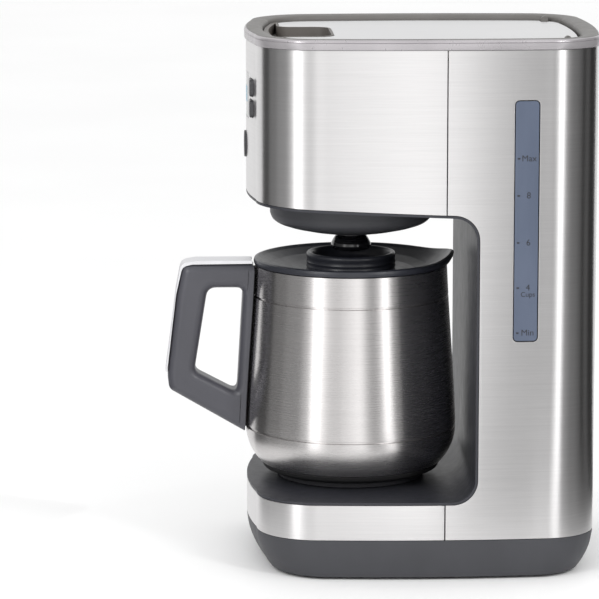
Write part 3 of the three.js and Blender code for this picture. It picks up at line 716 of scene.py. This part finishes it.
def make_keys():
    for i, key in enumerate(KEYS):
        lo, hi = mm_box(key)
        body = f"menu_key_{i + 1}"
        cap = lengthwise(f"{key}_cap", key_outline(key, 0, KEY_RADIUS), lo.y, hi.y)
        soften(cap, 0.8, 4)
        dress(cap, body, "black_gloss", KEY_GREY, key)
    lo, hi = mm_box("start_button")
    cap = lengthwise("start_button_cap", start_outline(0), lo.y, hi.y)
    centre = middle("start_button")
    cut(cap, turned_along_y("dimple", START_DIMPLE, centre.x, lo.y, centre.z))
    soften(cap, 0.6, 3, 50)
    dress(cap, "start_key", "black_gloss", KEY_GREY, "start_button")


def turned_along_y(name, profile, x, y, z, sides=48):
    """A solid turned about a line along Y, from (radius, depth) points."""
    rings = []
    for radius, depth in profile:
        radius = max(radius, 0.01)
        rings.append([(x + a, y + depth, z + b) for a, b in circle(radius, sides)])
    return loft(name, rings)


LENS_REAR = -112.8


def make_display():
    lens = lengthwise("display_glass", key_outline("display_lens", 0, LENS_RADIUS), -FAR, LENS_REAR)
    keep(lens, plan_body(0.05, 100, HEIGHT))
    soften(lens, 0.25, 2)
    dress(lens, "housing", "black_gloss", GLOSS_BLACK, "display_lens")
    make_clock()


SEGMENTS = {"0": "abcdef", "1": "bc", "2": "abged"}
FIGURE_WIDTH = 5.2
FIGURE_HEIGHT = 10.5
FIGURE_PITCH = 8.2
BAR = 1.1
BAR_INSET = 0.12
COLON_GAP = 1.4
COLON_DOTS = (-2.6, 1.6)


def segment_boxes(x, z):
    """The seven bars of one figure as (x0, x1, z0, z1)."""
    mid = z + FIGURE_HEIGHT / 2
    top = z + FIGURE_HEIGHT
    right = x + FIGURE_WIDTH
    return {
        "a": (x, right, top - BAR, top),
        "b": (right - BAR, right, mid, top),
        "c": (right - BAR, right, z, mid),
        "d": (x, right, z, z + BAR),
        "e": (x, x + BAR, z, mid),
        "f": (x, x + BAR, mid, top),
        "g": (x, right, mid - BAR / 2, mid + BAR / 2),
    }


def make_clock():
    """Four plain figures and a colon behind the lens."""
    centre = middle("display_lens")
    starts = (-2 * FIGURE_PITCH, -FIGURE_PITCH, COLON_GAP, FIGURE_PITCH + COLON_GAP)
    boxes = []
    for start, figure in zip(starts, "1200"):
        bars = segment_boxes(centre.x + start, centre.z - FIGURE_HEIGHT / 2)
        boxes += [bars[s] for s in SEGMENTS[figure]]
    for dz in COLON_DOTS:
        boxes.append((centre.x - BAR, centre.x, centre.z + dz, centre.z + dz + BAR))
    points = []
    faces = []
    for x0, x1, z0, z1 in boxes:
        base = len(points)
        low = z0 + BAR_INSET
        high = z1 - BAR_INSET
        corners = ((x0, low), (x1, low), (x1, high), (x0, high))
        for depth in (-0.03, 0.1):
            points += [(x, front_face(x) + depth, z) for x, z in corners]
        faces += [(base, base + 1, base + 2, base + 3), (base + 7, base + 6, base + 5, base + 4)]
        for k in range(4):
            faces.append((base + k, base + 4 + k, base + 4 + (k + 1) % 4, base + (k + 1) % 4))
    dress(mesh_object("clock_figures", points, faces), "housing", "black_gloss", SEGMENT)


def front_face(x):
    """Y of the bowed front at a given X, level with the lens's surface."""
    half = WIDTH / 2 - SIDE_CROWN - FRONT_RADIUS
    return -(LENGTH / 2 - FRONT_CROWN) - FRONT_CROWN * (1 - (x / half) ** 2) + 0.05


# ---- level window
SCALE_MARKS = {"Max": 281.8, "8": 257.4, "6": 226.3, "4": 196.4, "Min": 166.4}
LETTER_SIZE = 5.8
LETTER_Y = (WINDOW_LOW.y + WINDOW_HIGH.y) / 2 + 1.4
LETTER_SINK = 0.33
CUPS_DROP = 4.5
CUPS_SIZE = 0.8
TICK_NEAR = WINDOW_LOW.y + 1.6
TICK_FAR = WINDOW_LOW.y + 3.2
TICK_HALF = 0.45


def side_face(y):
    """X of the bowed +X side at a given Y."""
    front = -(LENGTH / 2 - FRONT_CROWN) + FRONT_RADIUS
    rear = LENGTH / 2 - REAR_CROWN - REAR_RADIUS
    t = (y - front) / (rear - front)
    return WIDTH / 2 - SIDE_CROWN + SIDE_CROWN * 4 * t * (1 - t)


def make_window():
    pane = across("level_window_pane", window_outline(0), WINDOW_LOW.x, FAR)
    keep(pane, plan_body(0.3, 100, HEIGHT))
    soften(pane, 0.25, 2)
    dress(pane, "housing", "window_plastic", WINDOW, "level_window")
    for word, z in SCALE_MARKS.items():
        make_tick(word, z)
        make_word(f"scale_word_{word}", word, z)
    make_word("scale_word_cups", "Cups", SCALE_MARKS["4"] - CUPS_DROP, CUPS_SIZE)


def make_tick(word, z):
    x = side_face(WINDOW_LOW.y) - 0.36
    tick = block(x - 0.1, x + 0.12, TICK_NEAR, TICK_FAR, z - TICK_HALF, z + TICK_HALF)
    tick.name = f"scale_tick_{word}"
    dress(tick, "housing", "black_gloss", INK)


def make_word(name, text, z, size=1.0):
    """A word on the window, its letters bent to the side's bow."""
    curve = bpy.data.curves.new(name, "FONT")
    curve.body = text
    curve.size = LETTER_SIZE * size * MM
    curve.align_x = "CENTER"
    curve.align_y = "CENTER"
    curve.extrude = 0.08 * MM
    word = linked(name, curve)
    bpy.context.view_layer.update()
    mesh = bpy.data.meshes.new_from_object(word)
    bpy.data.objects.remove(word)
    for vertex in mesh.vertices:
        a, b, c = vertex.co
        x = side_face(LETTER_Y + a / MM) - LETTER_SINK
        vertex.co = (x * MM + c, LETTER_Y * MM + HOUSE_Y + a, z * MM + b)
    dress(linked(name, mesh), "housing", "black_gloss", INK)


# ---- top lid
LID_INSET = RIM_INNER + 0.9
PANEL_INSET = LID_INSET + 1.2
PANEL_THICK = 1.5
FRAME_LOW = mm_box("lid_frame")[0].z
FRAME_WALL = 2.5
SCOOP_HALF = 34
SCOOP_REAR = mm_box("finger_grip")[1].y
SCOOP_FLOOR = mm_box("finger_grip")[0].z
SCOOP_RADIUS = 11
STRIP_Y = -93.6
FLARE = 8
HINGE_Y = middle("hinge_pin_left").y
HINGE_Z = middle("hinge_pin_left").z
EAR = (69.4, 73.8)
EAR_RADIUS = 2.4
EAR_FOOT = 352.4
EAR_CLEARANCE = 0.4
GRIP_WALL = 1.6


def scoop_outline(grow):
    """The grip's T shape from above: a strip along the lid's front edge and a scoop behind it."""
    radius = SCOOP_RADIUS + grow
    half = SCOOP_HALF + grow
    rear = SCOOP_REAR + grow
    strip = STRIP_Y + grow
    flare = FLARE - grow
    right = [(WIDTH, -LENGTH), (WIDTH, strip)]
    right += arc(half + flare, strip + flare, flare, -90, -180, 14)
    right += arc(half - radius, rear - radius, radius, 0, 90, 14)
    return right + [(-x, y) for x, y in reversed(right)]


def make_lid_panel():
    panel = upright("lid_panel_sheet", plan(PANEL_INSET), LID_TOP - PANEL_THICK, LID_TOP)
    cut(panel, upright("scoop_cut", scoop_outline(0.4), 300, 400))
    for side in (-1, 1):
        ends = sorted((side * (EAR[0] - EAR_CLEARANCE), side * WIDTH))
        reach = EAR_RADIUS + EAR_CLEARANCE
        cut(panel, block(*ends, HINGE_Y - reach, HINGE_Y + reach, 340, 400))
    soften(panel, 0.45, 3)
    dress(panel, "top_lid", "brushed_steel", STEEL_TOP_PANEL, "lid_panel")


def make_ear(side):
    """A round hinge ear on its web."""
    head = arc(HINGE_Y, HINGE_Z, EAR_RADIUS, 0, 180, 20)
    foot = [(HINGE_Y - EAR_RADIUS, EAR_FOOT), (HINGE_Y + EAR_RADIUS, EAR_FOOT)]
    return across("ear", head + foot, *sorted(side * x for x in EAR))


def make_lid_frame():
    top = LID_TOP - PANEL_THICK - GAP
    tray = upright("lid_frame_moulding", plan(LID_INSET), FRAME_LOW, top)
    cut(tray, upright("hollow", plan(LID_INSET + FRAME_WALL), FRAME_LOW - 5, top - FRAME_WALL))
    cut(tray, upright("scoop_cut", scoop_outline(GAP), SCOOP_FLOOR, 400))
    soften(tray, 0.4, 2)
    dress(tray, "top_lid", "slate_plastic", SLATE, "lid_frame")
    for side, name in ((-1, "left"), (1, "right")):
        ear = make_ear(side)
        ear.name = f"lid_ear_{name}"
        soften(ear, 0.4, 3, 50)
        dress(ear, "top_lid", "slate_plastic", TAUPE)


def make_finger_grip():
    grip = upright("finger_grip_cup", scoop_outline(0), SCOOP_FLOOR, LID_TOP + 0.4)
    keep(grip, plan_body(LID_INSET, 300, 400))
    hollow = upright("hollow", scoop_outline(-GRIP_WALL), SCOOP_FLOOR + GRIP_WALL, 400)
    keep(hollow, plan_body(LID_INSET + 3, 300, 420))
    soften(hollow, 2.2, 4, 60)
    cut(grip, hollow)
    soften(grip, 0.4, 3, 50)
    # The scoop takes the darker taupe, which is painted shade for its hollow.
    dress(grip, "top_lid", "rim_plastic", SHADED_TAUPE, "finger_grip")


# ---- brewing parts
def make_basket():
    profile = filleted([
        (13.9, 219.8), (20, 220.6, 9), (32, 222.7, 20), (43, 225.2, 20), (50, 227.5, 12), (53.6, 230.2, 6),
        (55, 234, 5), (55, 251.8), (59, 251.8), (59, 254.2), (55, 254.2), (55, 308), (52.8, 308),
        (52.8, 238, 6), (51, 232.4, 8), (42, 227.7, 20), (31, 225, 20), (19, 223), (13.9, 222.4),
    ], 0.6, 5)
    basket = turned("brew_basket_bowl", profile, 128)
    dress(basket, "housing", "dark_plastic", BASE_DARK, "brew_basket", angle=45)


def make_filter():
    profile = filleted([
        (0.3, 232), (27, 232), (49, 300), (51.5, 300), (51.5, 302), (47.6, 302), (26, 233.5), (0.3, 233.5),
    ], 0.5, 3)
    cup = turned("permanent_filter_cup", profile, 96)
    dress(cup, "housing", "gold_mesh", SCREEN, "permanent_filter", angle=45)


def make_valve():
    low = mm_box("drip_valve")[0].z
    profile = filleted([
        (0.3, low), (9.4, low, 3), (12.6, low + 1, 3), (13.6, low + 3.4, 3), (13.3, low + 5.6, 3),
        (11.8, low + 8.4, 4), (10.2, low + 10.6, 3), (10.2, 224.4), (4, 224.4), (4, 226.5), (0.3, 226.5),
    ], 0.4, 8)
    knob = turned("drip_valve_knob", profile, 96)
    dress(knob, "valve", "black_gloss", GLOSS_BLACK, "drip_valve", angle=50)


SPRING_WIRE = 0.75
SPRING_TURNS = 4


def make_spring():
    """The valve's coil spring, wound from a round wire."""
    lo, hi = mm_box("valve_spring")
    radius = hi.x - SPRING_WIRE
    rise = hi.z - lo.z - 2 * SPRING_WIRE
    steps = 28
    rings = []
    for k in range(SPRING_TURNS * steps + 1):
        angle = 2 * math.pi * k / steps
        z = lo.z + SPRING_WIRE + rise * k / (SPRING_TURNS * steps)
        rings.append([((radius + a) * math.sin(angle), BREW_Y + (radius + a) * math.cos(angle), z + b)
                      for a, b in circle(SPRING_WIRE, 8)])
    spring = loft("valve_spring_coil", rings)
    dress(spring, "housing", "brushed_steel", STEEL_INNER, "valve_spring")
    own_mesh(spring)


def make_rest():
    lo, hi = mm_box("carafe_rest")
    profile = filleted([(0.3, lo.z), (hi.x, lo.z), (hi.x, hi.z, 1.2), (0.3, hi.z)], 0.3, 5)
    disc = turned("carafe_rest_disc", profile, 96)
    dress(disc, "housing", "black_rubber", REST, "carafe_rest", angle=45)


# ---- carafe
GROOVE = 1.0
GROOVE_HALF = 0.9
GROOVE_FLOOR_HALF = 0.5


def shell_groove(radius, z):
    """A fine rolled groove in the shell's outer line at a height."""
    floor = radius - GROOVE
    return [(radius, z - GROOVE_HALF), (floor, z - GROOVE_FLOOR_HALF), (floor, z + GROOVE_FLOOR_HALF),
            (radius, z + GROOVE_HALF)]


def smooth_line(points, steps=8):
    """A Catmull-Rom line through (a, b) points."""
    out = []
    last = len(points) - 1
    for i in range(last):
        p0 = Vector(points[max(i - 1, 0)])
        p1 = Vector(points[i])
        p2 = Vector(points[i + 1])
        p3 = Vector(points[min(i + 2, last)])
        for k in range(steps):
            t = k / steps
            square = (2 * p0 - 5 * p1 + 4 * p2 - p3) * t * t
            cube = (3 * p1 - p0 - 3 * p2 + p3) * t ** 3
            out.append(tuple(0.5 * (2 * p1 + (p2 - p0) * t + square + cube)))
    out.append(tuple(points[-1]))
    return out


# The shell's outer side from its foot to its collar, as (radius, z) points.
SHELL_LINE = [
    (61.5, 63.3), (66.3, 69), (70, 77), (71.7, 87), (71.1, 105), (70, 124), (68.4, 148), (66.7, 173),
    (65.3, 198.4),
]
SHELL_WALL = 1.2
GROOVES = (88.2, 178)


def radius_at(line, z):
    for (r0, z0), (r1, z1) in zip(line, line[1:]):
        if z0 <= z <= z1:
            return r0 + (r1 - r0) * (z - z0) / (z1 - z0)
    return line[-1][0]


def make_shell():
    outer = smooth_line(SHELL_LINE)
    line = [p for p in outer if all(abs(p[1] - z) > GROOVE_HALF + 0.15 for z in GROOVES)]
    for z in GROOVES:
        line += shell_groove(radius_at(outer, z), z)
    line.sort(key=lambda p: p[1])
    inner = [(r - SHELL_WALL, z) for r, z in reversed(outer)]
    shell = turned("carafe_shell_body", line + inner, 160)
    dress(shell, "carafe", "brushed_steel", STEEL_CARAFE, "carafe_shell", angle=28)


def make_foot_ring():
    profile = filleted([
        (0.3, 62.9), (61.2, 62.9, 0.6), (59.5, 59.5, 3), (54, 57, 2.5), (44, 57, 1), (42, 60, 1), (0.3, 60),
    ], 0.5, 5)
    ring = turned("carafe_foot_ring", profile, 128)
    dress(ring, "carafe", "black_rubber", RUBBER, "carafe_foot", angle=45)


SPOUT_OUT = 4.4
SPOUT_UP = 4
SPOUT_SPREAD = 0.36
TROUGH_SPREAD = SPOUT_SPREAD * 1.6
TROUGH_DEPTH = 3


def smoothstep(value, low, high):
    t = min(max((value - low) / (high - low), 0), 1)
    return t * t * (3 - 2 * t)


def spouted(radius, z, angle):
    """Draws the collar's rim out and up into the spout, which points towards the column."""
    if angle > math.pi:
        angle -= 2 * math.pi
    swell = math.exp(-((angle / SPOUT_SPREAD) ** 2)) * smoothstep(radius, 55, 65) * smoothstep(z, 197, 203)
    trough = math.exp(-((angle / TROUGH_SPREAD) ** 2)) * smoothstep(radius, 36, 48)
    trough *= 1 - smoothstep(radius, 56, 63)
    return radius + SPOUT_OUT * swell, z + SPOUT_UP * swell - TROUGH_DEPTH * trough


def make_collar():
    profile = filleted([
        (64.2, 198.7, 0.3), (65.9, 199.2, 0.8), (66.2, 201, 1), (65.7, 202.8, 0.8), (63.6, 203.4, 0.9),
        (61, 201.6, 4), (54, 198.2, 10), (46, 195.4, 14), (38, 193, 8), (31.4, 192.2, 0.8), (31.4, 187.2),
        (35.6, 187.2), (35.6, 190.4), (38.4, 192, 1), (50, 194, 8), (62, 196.6, 2),
    ], 0.5, 5)
    collar = turned("carafe_collar_funnel", profile, 192, shape=spouted)
    dress(collar, "carafe", "slate_plastic", COLLAR, "carafe_collar", angle=50)


LID_SIDE = 29.9
THREAD_HEIGHTS = (190.5, 193.5, 196.5, 199.5)


def make_screw_lid():
    """The brew-through lid: a threaded ring with a dished top that drains to the middle."""
    ridges = []
    for z in THREAD_HEIGHTS:
        ridges += [(LID_SIDE, z), (LID_SIDE + 0.5, z + 0.7), (LID_SIDE + 0.5, z + 1.2), (LID_SIDE, z + 1.9)]
    lip = [(LID_SIDE, 203.2), (30.3, 204), (30.3, 205.6), (29.6, 206.7), (28.6, 207), (27.4, 206.7)]
    dish = [(26.4, 205.4), (25.6, 201), (24.6, 198.4), (20, 196.8), (12, 196), (4, 195.6)]
    hollow = [(4, 194), (27, 194), (27, 188)]
    ring = turned("carafe_lid_ring", [(LID_SIDE, 188)] + ridges + lip + dish + hollow, 144)
    dress(ring, "screw_lid", "black_gloss", COLLAR, "carafe_lid", angle=55)


def make_liner_flask():
    profile = filleted([
        (0.3, 67), (52, 67, 6), (60, 76, 8), (64, 92, 10), (62, 130, 10), (59.5, 165, 8), (56, 176, 8),
        (37, 186.5, 2), (37, 190.3), (36, 190.3), (36, 186, 2), (55, 175.2, 8), (58.5, 164.6, 8),
        (61, 130, 10), (63, 92.4, 10), (59.2, 77, 8), (51.6, 68, 6), (0.3, 68),
    ], 0.3, 5)
    flask = turned("carafe_flask", profile, 96)
    dress(flask, "carafe", "brushed_steel", STEEL_INNER, "carafe_liner", angle=45)


# ---- handle
TIP_Y = mm_box("handle_inlay")[0].y
HANDLE_HALF = mm_box("carafe_handle")[1].x
INLAY_HALF = mm_box("handle_inlay")[1].x
STRAP_HALF = mm_box("handle_strap")[1].x
BODY_Y = -112
HANDLE_ROUND = 6
# Corners seen from the side as (y, z, radius) points.
HANDLE_CORNERS = [
    (BODY_Y + HANDLE_ROUND, 81, 0), (-119.4, 84.5, 1.5), (TIP_Y + 2.4, 113.9, 6), (TIP_Y + 1.3, 124, 24),
    (-164.6, 179, 12), (-160.6, 198.9, 9), (-153, 199.6, 2), (BODY_Y + HANDLE_ROUND, 199.6, 0),
]
HOLE_CORNERS = [(-124, 111, 4), (-152.8, 126.2, 6), (-143.6, 183.4, 7), (-119.7, 183.4, 4.5)]


def shrunk(corners, inset):
    """Corner points (a, b, radius) of a clockwise line moved inwards by `inset`, radii included."""
    moved = []
    for i, (a, b, radius) in enumerate(corners):
        here = Vector((a, b))
        into = (here - Vector(corners[i - 1][:2])).normalized()
        out = (Vector(corners[(i + 1) % len(corners)][:2]) - here).normalized()
        side = Vector((into.y + out.y, -into.x - out.x)).normalized()
        reach = inset / side.dot(Vector((into.y, -into.x)))
        moved.append((a + side.x * reach, b + side.y * reach, max(radius - inset, 0.4) if radius else 0))
    return moved


def rounded_prism(name, corners, half, radius, inwards, steps=7):
    """A prism along X whose ends turn inwards (or flare outwards) on a round of `radius`."""
    turns = [math.radians(90 * i / steps) for i in range(steps + 1)]
    levels = [(-half + radius * (1 - math.cos(a)), radius * (1 - math.sin(a))) for a in turns]
    levels += [(-x, inset) for x, inset in reversed(levels)]
    rings = []
    for x, inset in levels:
        outline = filleted(shrunk(corners, inset * inwards), 1, 8)
        rings.append([(x, y, z) for y, z in outline])
    return loft(name, rings)


def keep_out(grow):
    """The carafe's body as a solid, grown by `grow`, which the handle's parts stay clear of."""
    side = [(r + grow, z) for r, z in smooth_line(SHELL_LINE)]
    collar = [(66.2 + grow, 198.5), (66.4 + grow, 204.6)]
    return turned("keep_out", [(0.3, 60)] + side + collar + [(0.3, 204.6)], 160)


HANDLE_CLEARANCE = 1.6
LEG_SEAM = 5.2
SEAM_WIDTH = 0.5
SEAM_DEPTH = 0.7


def make_handle():
    """The grip with its finger hole, and a fine seam along the leg beside the carafe."""
    handle = rounded_prism("carafe_handle_grip", HANDLE_CORNERS, HANDLE_HALF, HANDLE_ROUND, 1)
    cut(handle, rounded_prism("hole", HOLE_CORNERS, HANDLE_HALF + 0.01, HANDLE_ROUND, -1))
    cut(handle, keep_out(HANDLE_CLEARANCE))
    seam = cut(keep_out(LEG_SEAM + SEAM_WIDTH), keep_out(LEG_SEAM))
    cut(seam, block(-HANDLE_HALF + SEAM_DEPTH, HANDLE_HALF - SEAM_DEPTH, -FAR, FAR, 0, 300))
    cut(handle, seam)
    dress(handle, "carafe", "slate_plastic", GRIP, "carafe_handle", angle=50)


def make_inlay():
    """The bright strip along the handle's top and down its outer edge."""
    outline = filleted([
        (BODY_Y, 199.95, 0), (-154, 199.6, 4), (-160.6, 198, 6), (-165, 179, 8), (TIP_Y + 1.1, 126, 0.3),
        (TIP_Y, 126, 0.3), (-166.3, 172, 20), (-165.2, 181.5, 8), (-161.6, 200.6, 8), (-152, 202.2, 4),
        (BODY_Y, 202.2, 0),
    ], 0.3, 8)
    inlay = across("handle_inlay_strip", outline, -INLAY_HALF, INLAY_HALF)
    cut(inlay, keep_out(HANDLE_CLEARANCE))
    soften(inlay, 0.35, 2, 50)
    dress(inlay, "carafe", "brushed_steel", STEEL_INLAY, "handle_inlay", angle=40)


STRAP_INNER = 0.35
STRAP_OUTER = 1.25


def make_strap():
    """Thin seating strip between the handle's leg and the carafe's body."""
    outline = [(-130, 88), (-130, 196), (-100, 196), (-100, 88)]
    strap = across("handle_strap_strip", outline, -STRAP_HALF, STRAP_HALF)
    keep(strap, keep_out(STRAP_OUTER))
    cut(strap, keep_out(STRAP_INNER))
    dress(strap, "carafe", "slate_plastic", RUBBER, "handle_strap", angle=40)


# ---- underside and inside
def make_feet():
    for where in ("front_left", "front_right", "rear_left", "rear_right"):
        node = f"foot_{where}"
        lo, hi = mm_box(node)
        centre = (lo + hi) / 2
        radius = (hi.x - lo.x) / 2
        profile = filleted([(0.3, lo.z), (radius, lo.z, 0.9), (radius, hi.z, 0.2), (0.3, hi.z)], 0.2, 4)
        pad = turned(f"{node}_pad", profile, 48, centre.y, centre.x)
        dress(pad, "housing", "black_rubber", RUBBER, node, angle=45)


TANK_INSET = 6
TANK_WALL = 2.5
TANK_FLOOR = 130


def make_tank():
    lo, hi = mm_box("water_tank")
    tank = upright("water_tank_tub", plan(TANK_INSET), TANK_FLOOR, hi.z)
    keep(tank, block(-FAR, FAR, lo.y, hi.y, 0, 500))
    hollow = upright("hollow", plan(TANK_INSET + TANK_WALL), TANK_FLOOR + TANK_WALL, 400)
    keep(hollow, block(-FAR, FAR, lo.y + TANK_WALL, hi.y - TANK_WALL, 0, 500))
    soften(hollow, 4, 4, 50)
    cut(tank, hollow)
    soften(tank, 0.6, 3, 50)
    dress(tank, "housing", "tank_plastic", TANK, "water_tank", angle=45)


MAKERS = (
    make_rear_skin, make_head_skin, make_base_band, make_base_pan, make_liner, make_rim, make_keys,
    make_display, make_window, make_lid_panel, make_lid_frame, make_finger_grip, make_basket,
    make_filter, make_valve, make_spring, make_rest, make_shell, make_foot_ring, make_collar,
    make_screw_lid, make_liner_flask, make_handle, make_inlay, make_strap, make_feet, make_tank,
)
for make in MAKERS:
    make()

paint_node(BASE_DARK, "bottom_plate", "shower_plate")
paint_node(ALLOY, "heater", "thermostat", "base_screw_front_left", "base_screw_front_right",
           "base_screw_rear_left", "base_screw_rear_right")
paint_node(SILICONE, "feed_hose", "riser_tube", "check_valve", "thermal_fuse", "lid_gasket")
paint_node(GLOSS_BLACK, "display_module", "power_inlet")
paint_node(CIRCUIT, "control_board")
paint_node(SHADED_TAUPE, "hinge_pin_left", "hinge_pin_right")


# ---- stage, light and camera
FLOOR_REACH = 40
WORLD_STRENGTH = 1.04


def make_floor():
    mesh = bpy.data.meshes.new("floor")
    corners = [(-1, -1), (1, -1), (1, 1), (-1, 1)]
    mesh.from_pydata([(x * FLOOR_REACH, y * FLOOR_REACH, 0) for x, y in corners], [], [(0, 1, 2, 3)])
    floor = linked("floor", mesh)
    material, nodes, links, shader = node_material("floor_white")
    tone = stretched_noise(nodes, links, (3, 3, 3), 2.0, 0.5)
    color = blended(nodes, links, tone, (0.93, 0.93, 0.93), (0.95, 0.95, 0.95))
    links.new(color, shader.inputs["Base Color"])
    settle(shader, {"Roughness": 0.55, "Specular IOR Level": 0.2})
    floor.data.materials.append(material)


def make_world():
    world = bpy.data.worlds.new("studio")
    bpy.context.scene.world = world
    world.use_nodes = True
    background = world.node_tree.nodes["Background"]
    settle(background, {"Color": (1, 1, 1, 1), "Strength": WORLD_STRENGTH})


# The reflectors' distances and heights in metres.
CARD_NEAR = 0.24
CARD_RADIUS = 1.3
CARD_LOW = 0.002
CARD_HEIGHT = 1.5
# Tone of the studio's reflectors round the object, by azimuth in degrees (0 is +X, 90 is +Y).
CARDS = [
    (-30, -14, 0.85), (-14, -6, 1.08), (-6, 1, 1.28), (1, 8, 1.5), (8, 12, 1.2), (12, 17, 0.62),
    (17, 29, 0.4), (29, 32, 0.8), (32, 41, 1.9), (41, 56, 0.26), (56, 72, 0.19), (72, 82, 0.13),
    (82, 90, 0.03), (90, 104, 0.11), (104, 132, 0.03), (132, 236, 0.9), (236, 258, 0.06), (258, 278, 0.22),
    (278, 302, 0.32), (302, 312, 0.6), (312, 324, 1.9), (324, 330, 1.1),
]


def make_card(start, end, tone):
    """A reflector wall with its strip of floor, which only glossy surfaces see."""
    steps = max(2, round((end - start) / 5))
    near = arc(0, 0, CARD_NEAR, start, end, steps)
    far = arc(0, 0, CARD_RADIUS, start, end, steps)
    points = [(x, y, CARD_LOW) for x, y in near + far] + [(x, y, CARD_HEIGHT) for x, y in far]
    count = steps + 1
    faces = [(i, i + 1, count + i + 1, count + i) for i in range(steps)]
    faces += [tuple(count + corner for corner in face) for face in faces]
    mesh = bpy.data.meshes.new("card")
    mesh.from_pydata(points, [], faces)
    card = linked(f"card_{start}", mesh)
    material = bpy.data.materials.new(f"card_{start}")
    material.use_nodes = True
    nodes = material.node_tree.nodes
    nodes.clear()
    glow = nodes.new("ShaderNodeEmission")
    settle(glow, {"Strength": tone})
    output = nodes.new("ShaderNodeOutputMaterial")
    material.node_tree.links.new(glow.outputs["Emission"], output.inputs["Surface"])
    mesh.materials.append(material)
    card.visible_camera = False
    card.visible_diffuse = False
    card.visible_transmission = False
    card.visible_shadow = False


SOFTBOX_DISTANCE = 1.25
SOFTBOX_Z = 0.85
SOFTBOX_SIZE = (0.2, 0.7)
SOFTBOX_POWER = 4.5
SOFTBOX_AIM = Vector((0, 0, 0.2))


def make_softbox(name, azimuth):
    """A soft area light just inside the reflectors, aimed at the object's middle."""
    angle = math.radians(azimuth)
    place = Vector((math.cos(angle), math.sin(angle), 0)) * SOFTBOX_DISTANCE
    place.z = SOFTBOX_Z
    light = bpy.data.lights.new(name, "AREA")
    light.shape = "RECTANGLE"
    light.size, light.size_y = SOFTBOX_SIZE
    light.energy = SOFTBOX_POWER
    lamp = linked(name, light)
    lamp.location = place
    lamp.rotation_euler = (SOFTBOX_AIM - place).to_track_quat("-Z", "Y").to_euler()


CAMERA_PLACE = (2.392, HOUSE_Y - 0.1766, 0.5845)
CAMERA_YAW = math.radians(-2.289)
CAMERA_PITCH = math.radians(-9.739)
CAMERA_LENS = 214.35


def make_camera():
    camera = bpy.data.cameras.new("camera")
    camera.lens = CAMERA_LENS
    camera.sensor_width = 36
    camera.clip_start = 0.05
    camera.clip_end = 200
    eye = linked("camera", camera)
    level = math.cos(CAMERA_PITCH)
    ahead = Vector((-math.cos(CAMERA_YAW) * level, -math.sin(CAMERA_YAW) * level, math.sin(CAMERA_PITCH)))
    eye.location = CAMERA_PLACE
    eye.rotation_euler = ahead.to_track_quat("-Z", "Y").to_euler()
    bpy.context.scene.camera = eye


make_floor()
make_world()
for card in CARDS:
    make_card(*card)
make_softbox("softbox_front", -42)
make_softbox("softbox_rear", 37)
make_camera()
bpy.context.scene.view_settings.view_transform = "Standard"
